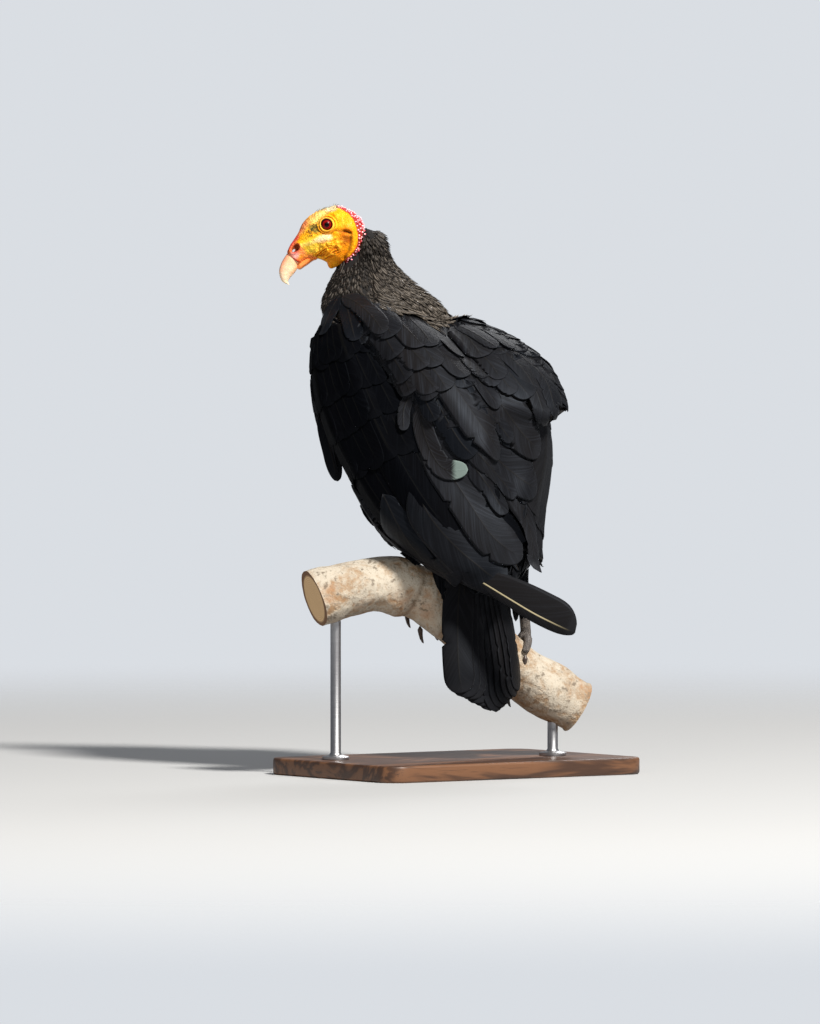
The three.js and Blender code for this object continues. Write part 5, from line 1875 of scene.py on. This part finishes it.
def make_branch():
    """The cut length of branch that the bird grips."""
    bm = rolled(112, 240, branch_form)
    branch = piece_from(bm, "perch_bark", BARK, SAWN)
    mesh = branch.data
    points = places_of(mesh.vertices)
    axis, along, _ = branch_axis(np.linspace(0, 1, 300))
    nearest = ((points[:, None] - axis[None]) ** 2).sum(axis=2).argmin(axis=1)
    off = points - axis[nearest]
    away = np.linalg.norm(off, axis=1)
    turn = np.arctan2(off[:, 2], off @ PERCH_FRONT)
    # hollow marks the groove behind each collar, where the bark is painted with shade.
    hollow = np.zeros(len(points))
    for place, swell in COLLARS:
        hollow = np.maximum(hollow, bell(along[nearest], place + 14, 3.5) * min(1, swell * 10))
    vertex_maps(mesh, "bark", np.stack([along[nearest] / 25, turn, hollow], axis=1))
    vertex_maps(mesh, "sawn", np.stack([away, turn, away * 0], axis=1))
    centres = np.array([polygon.center for polygon in mesh.polygons]) / MM
    sawn = np.zeros(len(centres), bool)
    for end, inner in ((axis[0], axis[1]), (axis[-1], axis[-2])):
        sawn |= np.abs((centres - end) @ unit(inner - end)) < SAWN_DEPTH
    mesh.polygons.foreach_set("material_index", sawn.astype(np.int32))
    return dress(crisp(branch, 50), "bark", "perch_branch")


def make_claws():
    """The eight claws, smooth and round."""
    names = [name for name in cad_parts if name.startswith("claw_")]
    claws = remeshed("claws", names, voxel=0.5, rounds=2)
    claws.data.materials.append(CLAW)
    every_face(claws.data, "use_smooth", True)
    return dress(claws, "claw", *names)


def crisp(piece, angle=35):
    """Smooth faces that keep their sharp edges."""
    mesh = piece.data
    bm = bmesh.new()
    bm.from_mesh(mesh)
    for edge in bm.edges:
        edge.smooth = len(edge.link_faces) == 2 and edge.calc_face_angle() < math.radians(angle)
    bm.to_mesh(mesh)
    bm.free()
    return piece


def bevelled(bm, size, segments, chosen):
    """Rounds the edges that chosen(edge) picks."""
    bmesh.ops.bevel(bm, geom=[edge for edge in bm.edges if chosen(edge)], offset=size * MM, segments=segments,
                    profile=0.5, affect="EDGES", material=-1, offset_type="OFFSET")


def upright(edge):
    return abs(edge.verts[0].co.z - edge.verts[1].co.z) > WELD


def make_base():
    """The stand's base board, with rounded corners and a softened rim."""
    low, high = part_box("stand_base")
    bm = bmesh.new()
    bmesh.ops.create_cube(bm, size=1.0)
    bmesh.ops.scale(bm, vec=high - low, verts=bm.verts)
    bmesh.ops.translate(bm, vec=(high + low) / 2, verts=bm.verts)
    bevelled(bm, BASE_CORNER, 14, upright)
    bevelled(bm, BASE_BEVEL, 4, lambda edge: not upright(edge) and any(
        abs(face.normal.z) > 0.9 for face in edge.link_faces))
    return dress(crisp(piece_from(bm, "stand_board", WALNUT)), "wood", "stand_base")


def make_rod(name):
    """A round steel rod that stands on a small turned foot."""
    low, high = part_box(name)
    middle = (low + high) / 2
    radius = (high.x - low.x) / 2
    foot = [(0, 0), (2.6, 0), (2.6, 2.2), (2.4, 2.8), (1.25, 4.2), (1, 6)]
    outline = [(wide, low.z + up * MM) for wide, up in foot] + [(1, high.z - MM), (0.8, high.z), (0, high.z)]
    bm = bmesh.new()
    corners = [bm.verts.new((middle.x + wide * radius, middle.y, z)) for wide, z in outline]
    edges = [bm.edges.new(pair) for pair in zip(corners, corners[1:])]
    bmesh.ops.spin(bm, geom=corners + edges, cent=(middle.x, middle.y, 0), axis=(0, 0, 1), angle=TURN,
                   steps=48, use_merge=True)
    bmesh.ops.remove_doubles(bm, verts=bm.verts, dist=WELD)
    bmesh.ops.recalc_face_normals(bm, faces=bm.faces)
    return dress(crisp(piece_from(bm, name + "_turned", STEEL)), "steel", name)


# The skin comes first: every feather takes its patch from the skin's unwrap.
skin = make_skin()
skin_unwrap = skin_reader(skin)
# The coats are laid on a smooth guide round the bird's solids.
bird = [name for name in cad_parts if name.split("_")[0] in (
    "head", "neck", "trunk", "wing", "scapulars", "thigh", "primaries", "tail", "alula")]
guide_shell = remeshed("guide", bird, voxel=3.2, rounds=3)
guide = Surface(guide_shell.data)
removed(guide_shell)
make_eye(1, "left")
make_eye(-1, "right")
make_bill()
make_knobs(skin)
make_bristles(skin)
hood(guide)
body_coat(guide)
under_heroes = []
for name, tract in SIDES.items():
    under_heroes += [flight_feathers(name, tract), cape_feathers(guide, name, tract)]
    primaries(name, tract)
    alula_feathers(name, tract)
tail_feathers()
hero_feathers(*under_heroes)
make_claws()
make_branch()
make_base()
for name in SIDES:
    make_rod("stand_rod_" + name)
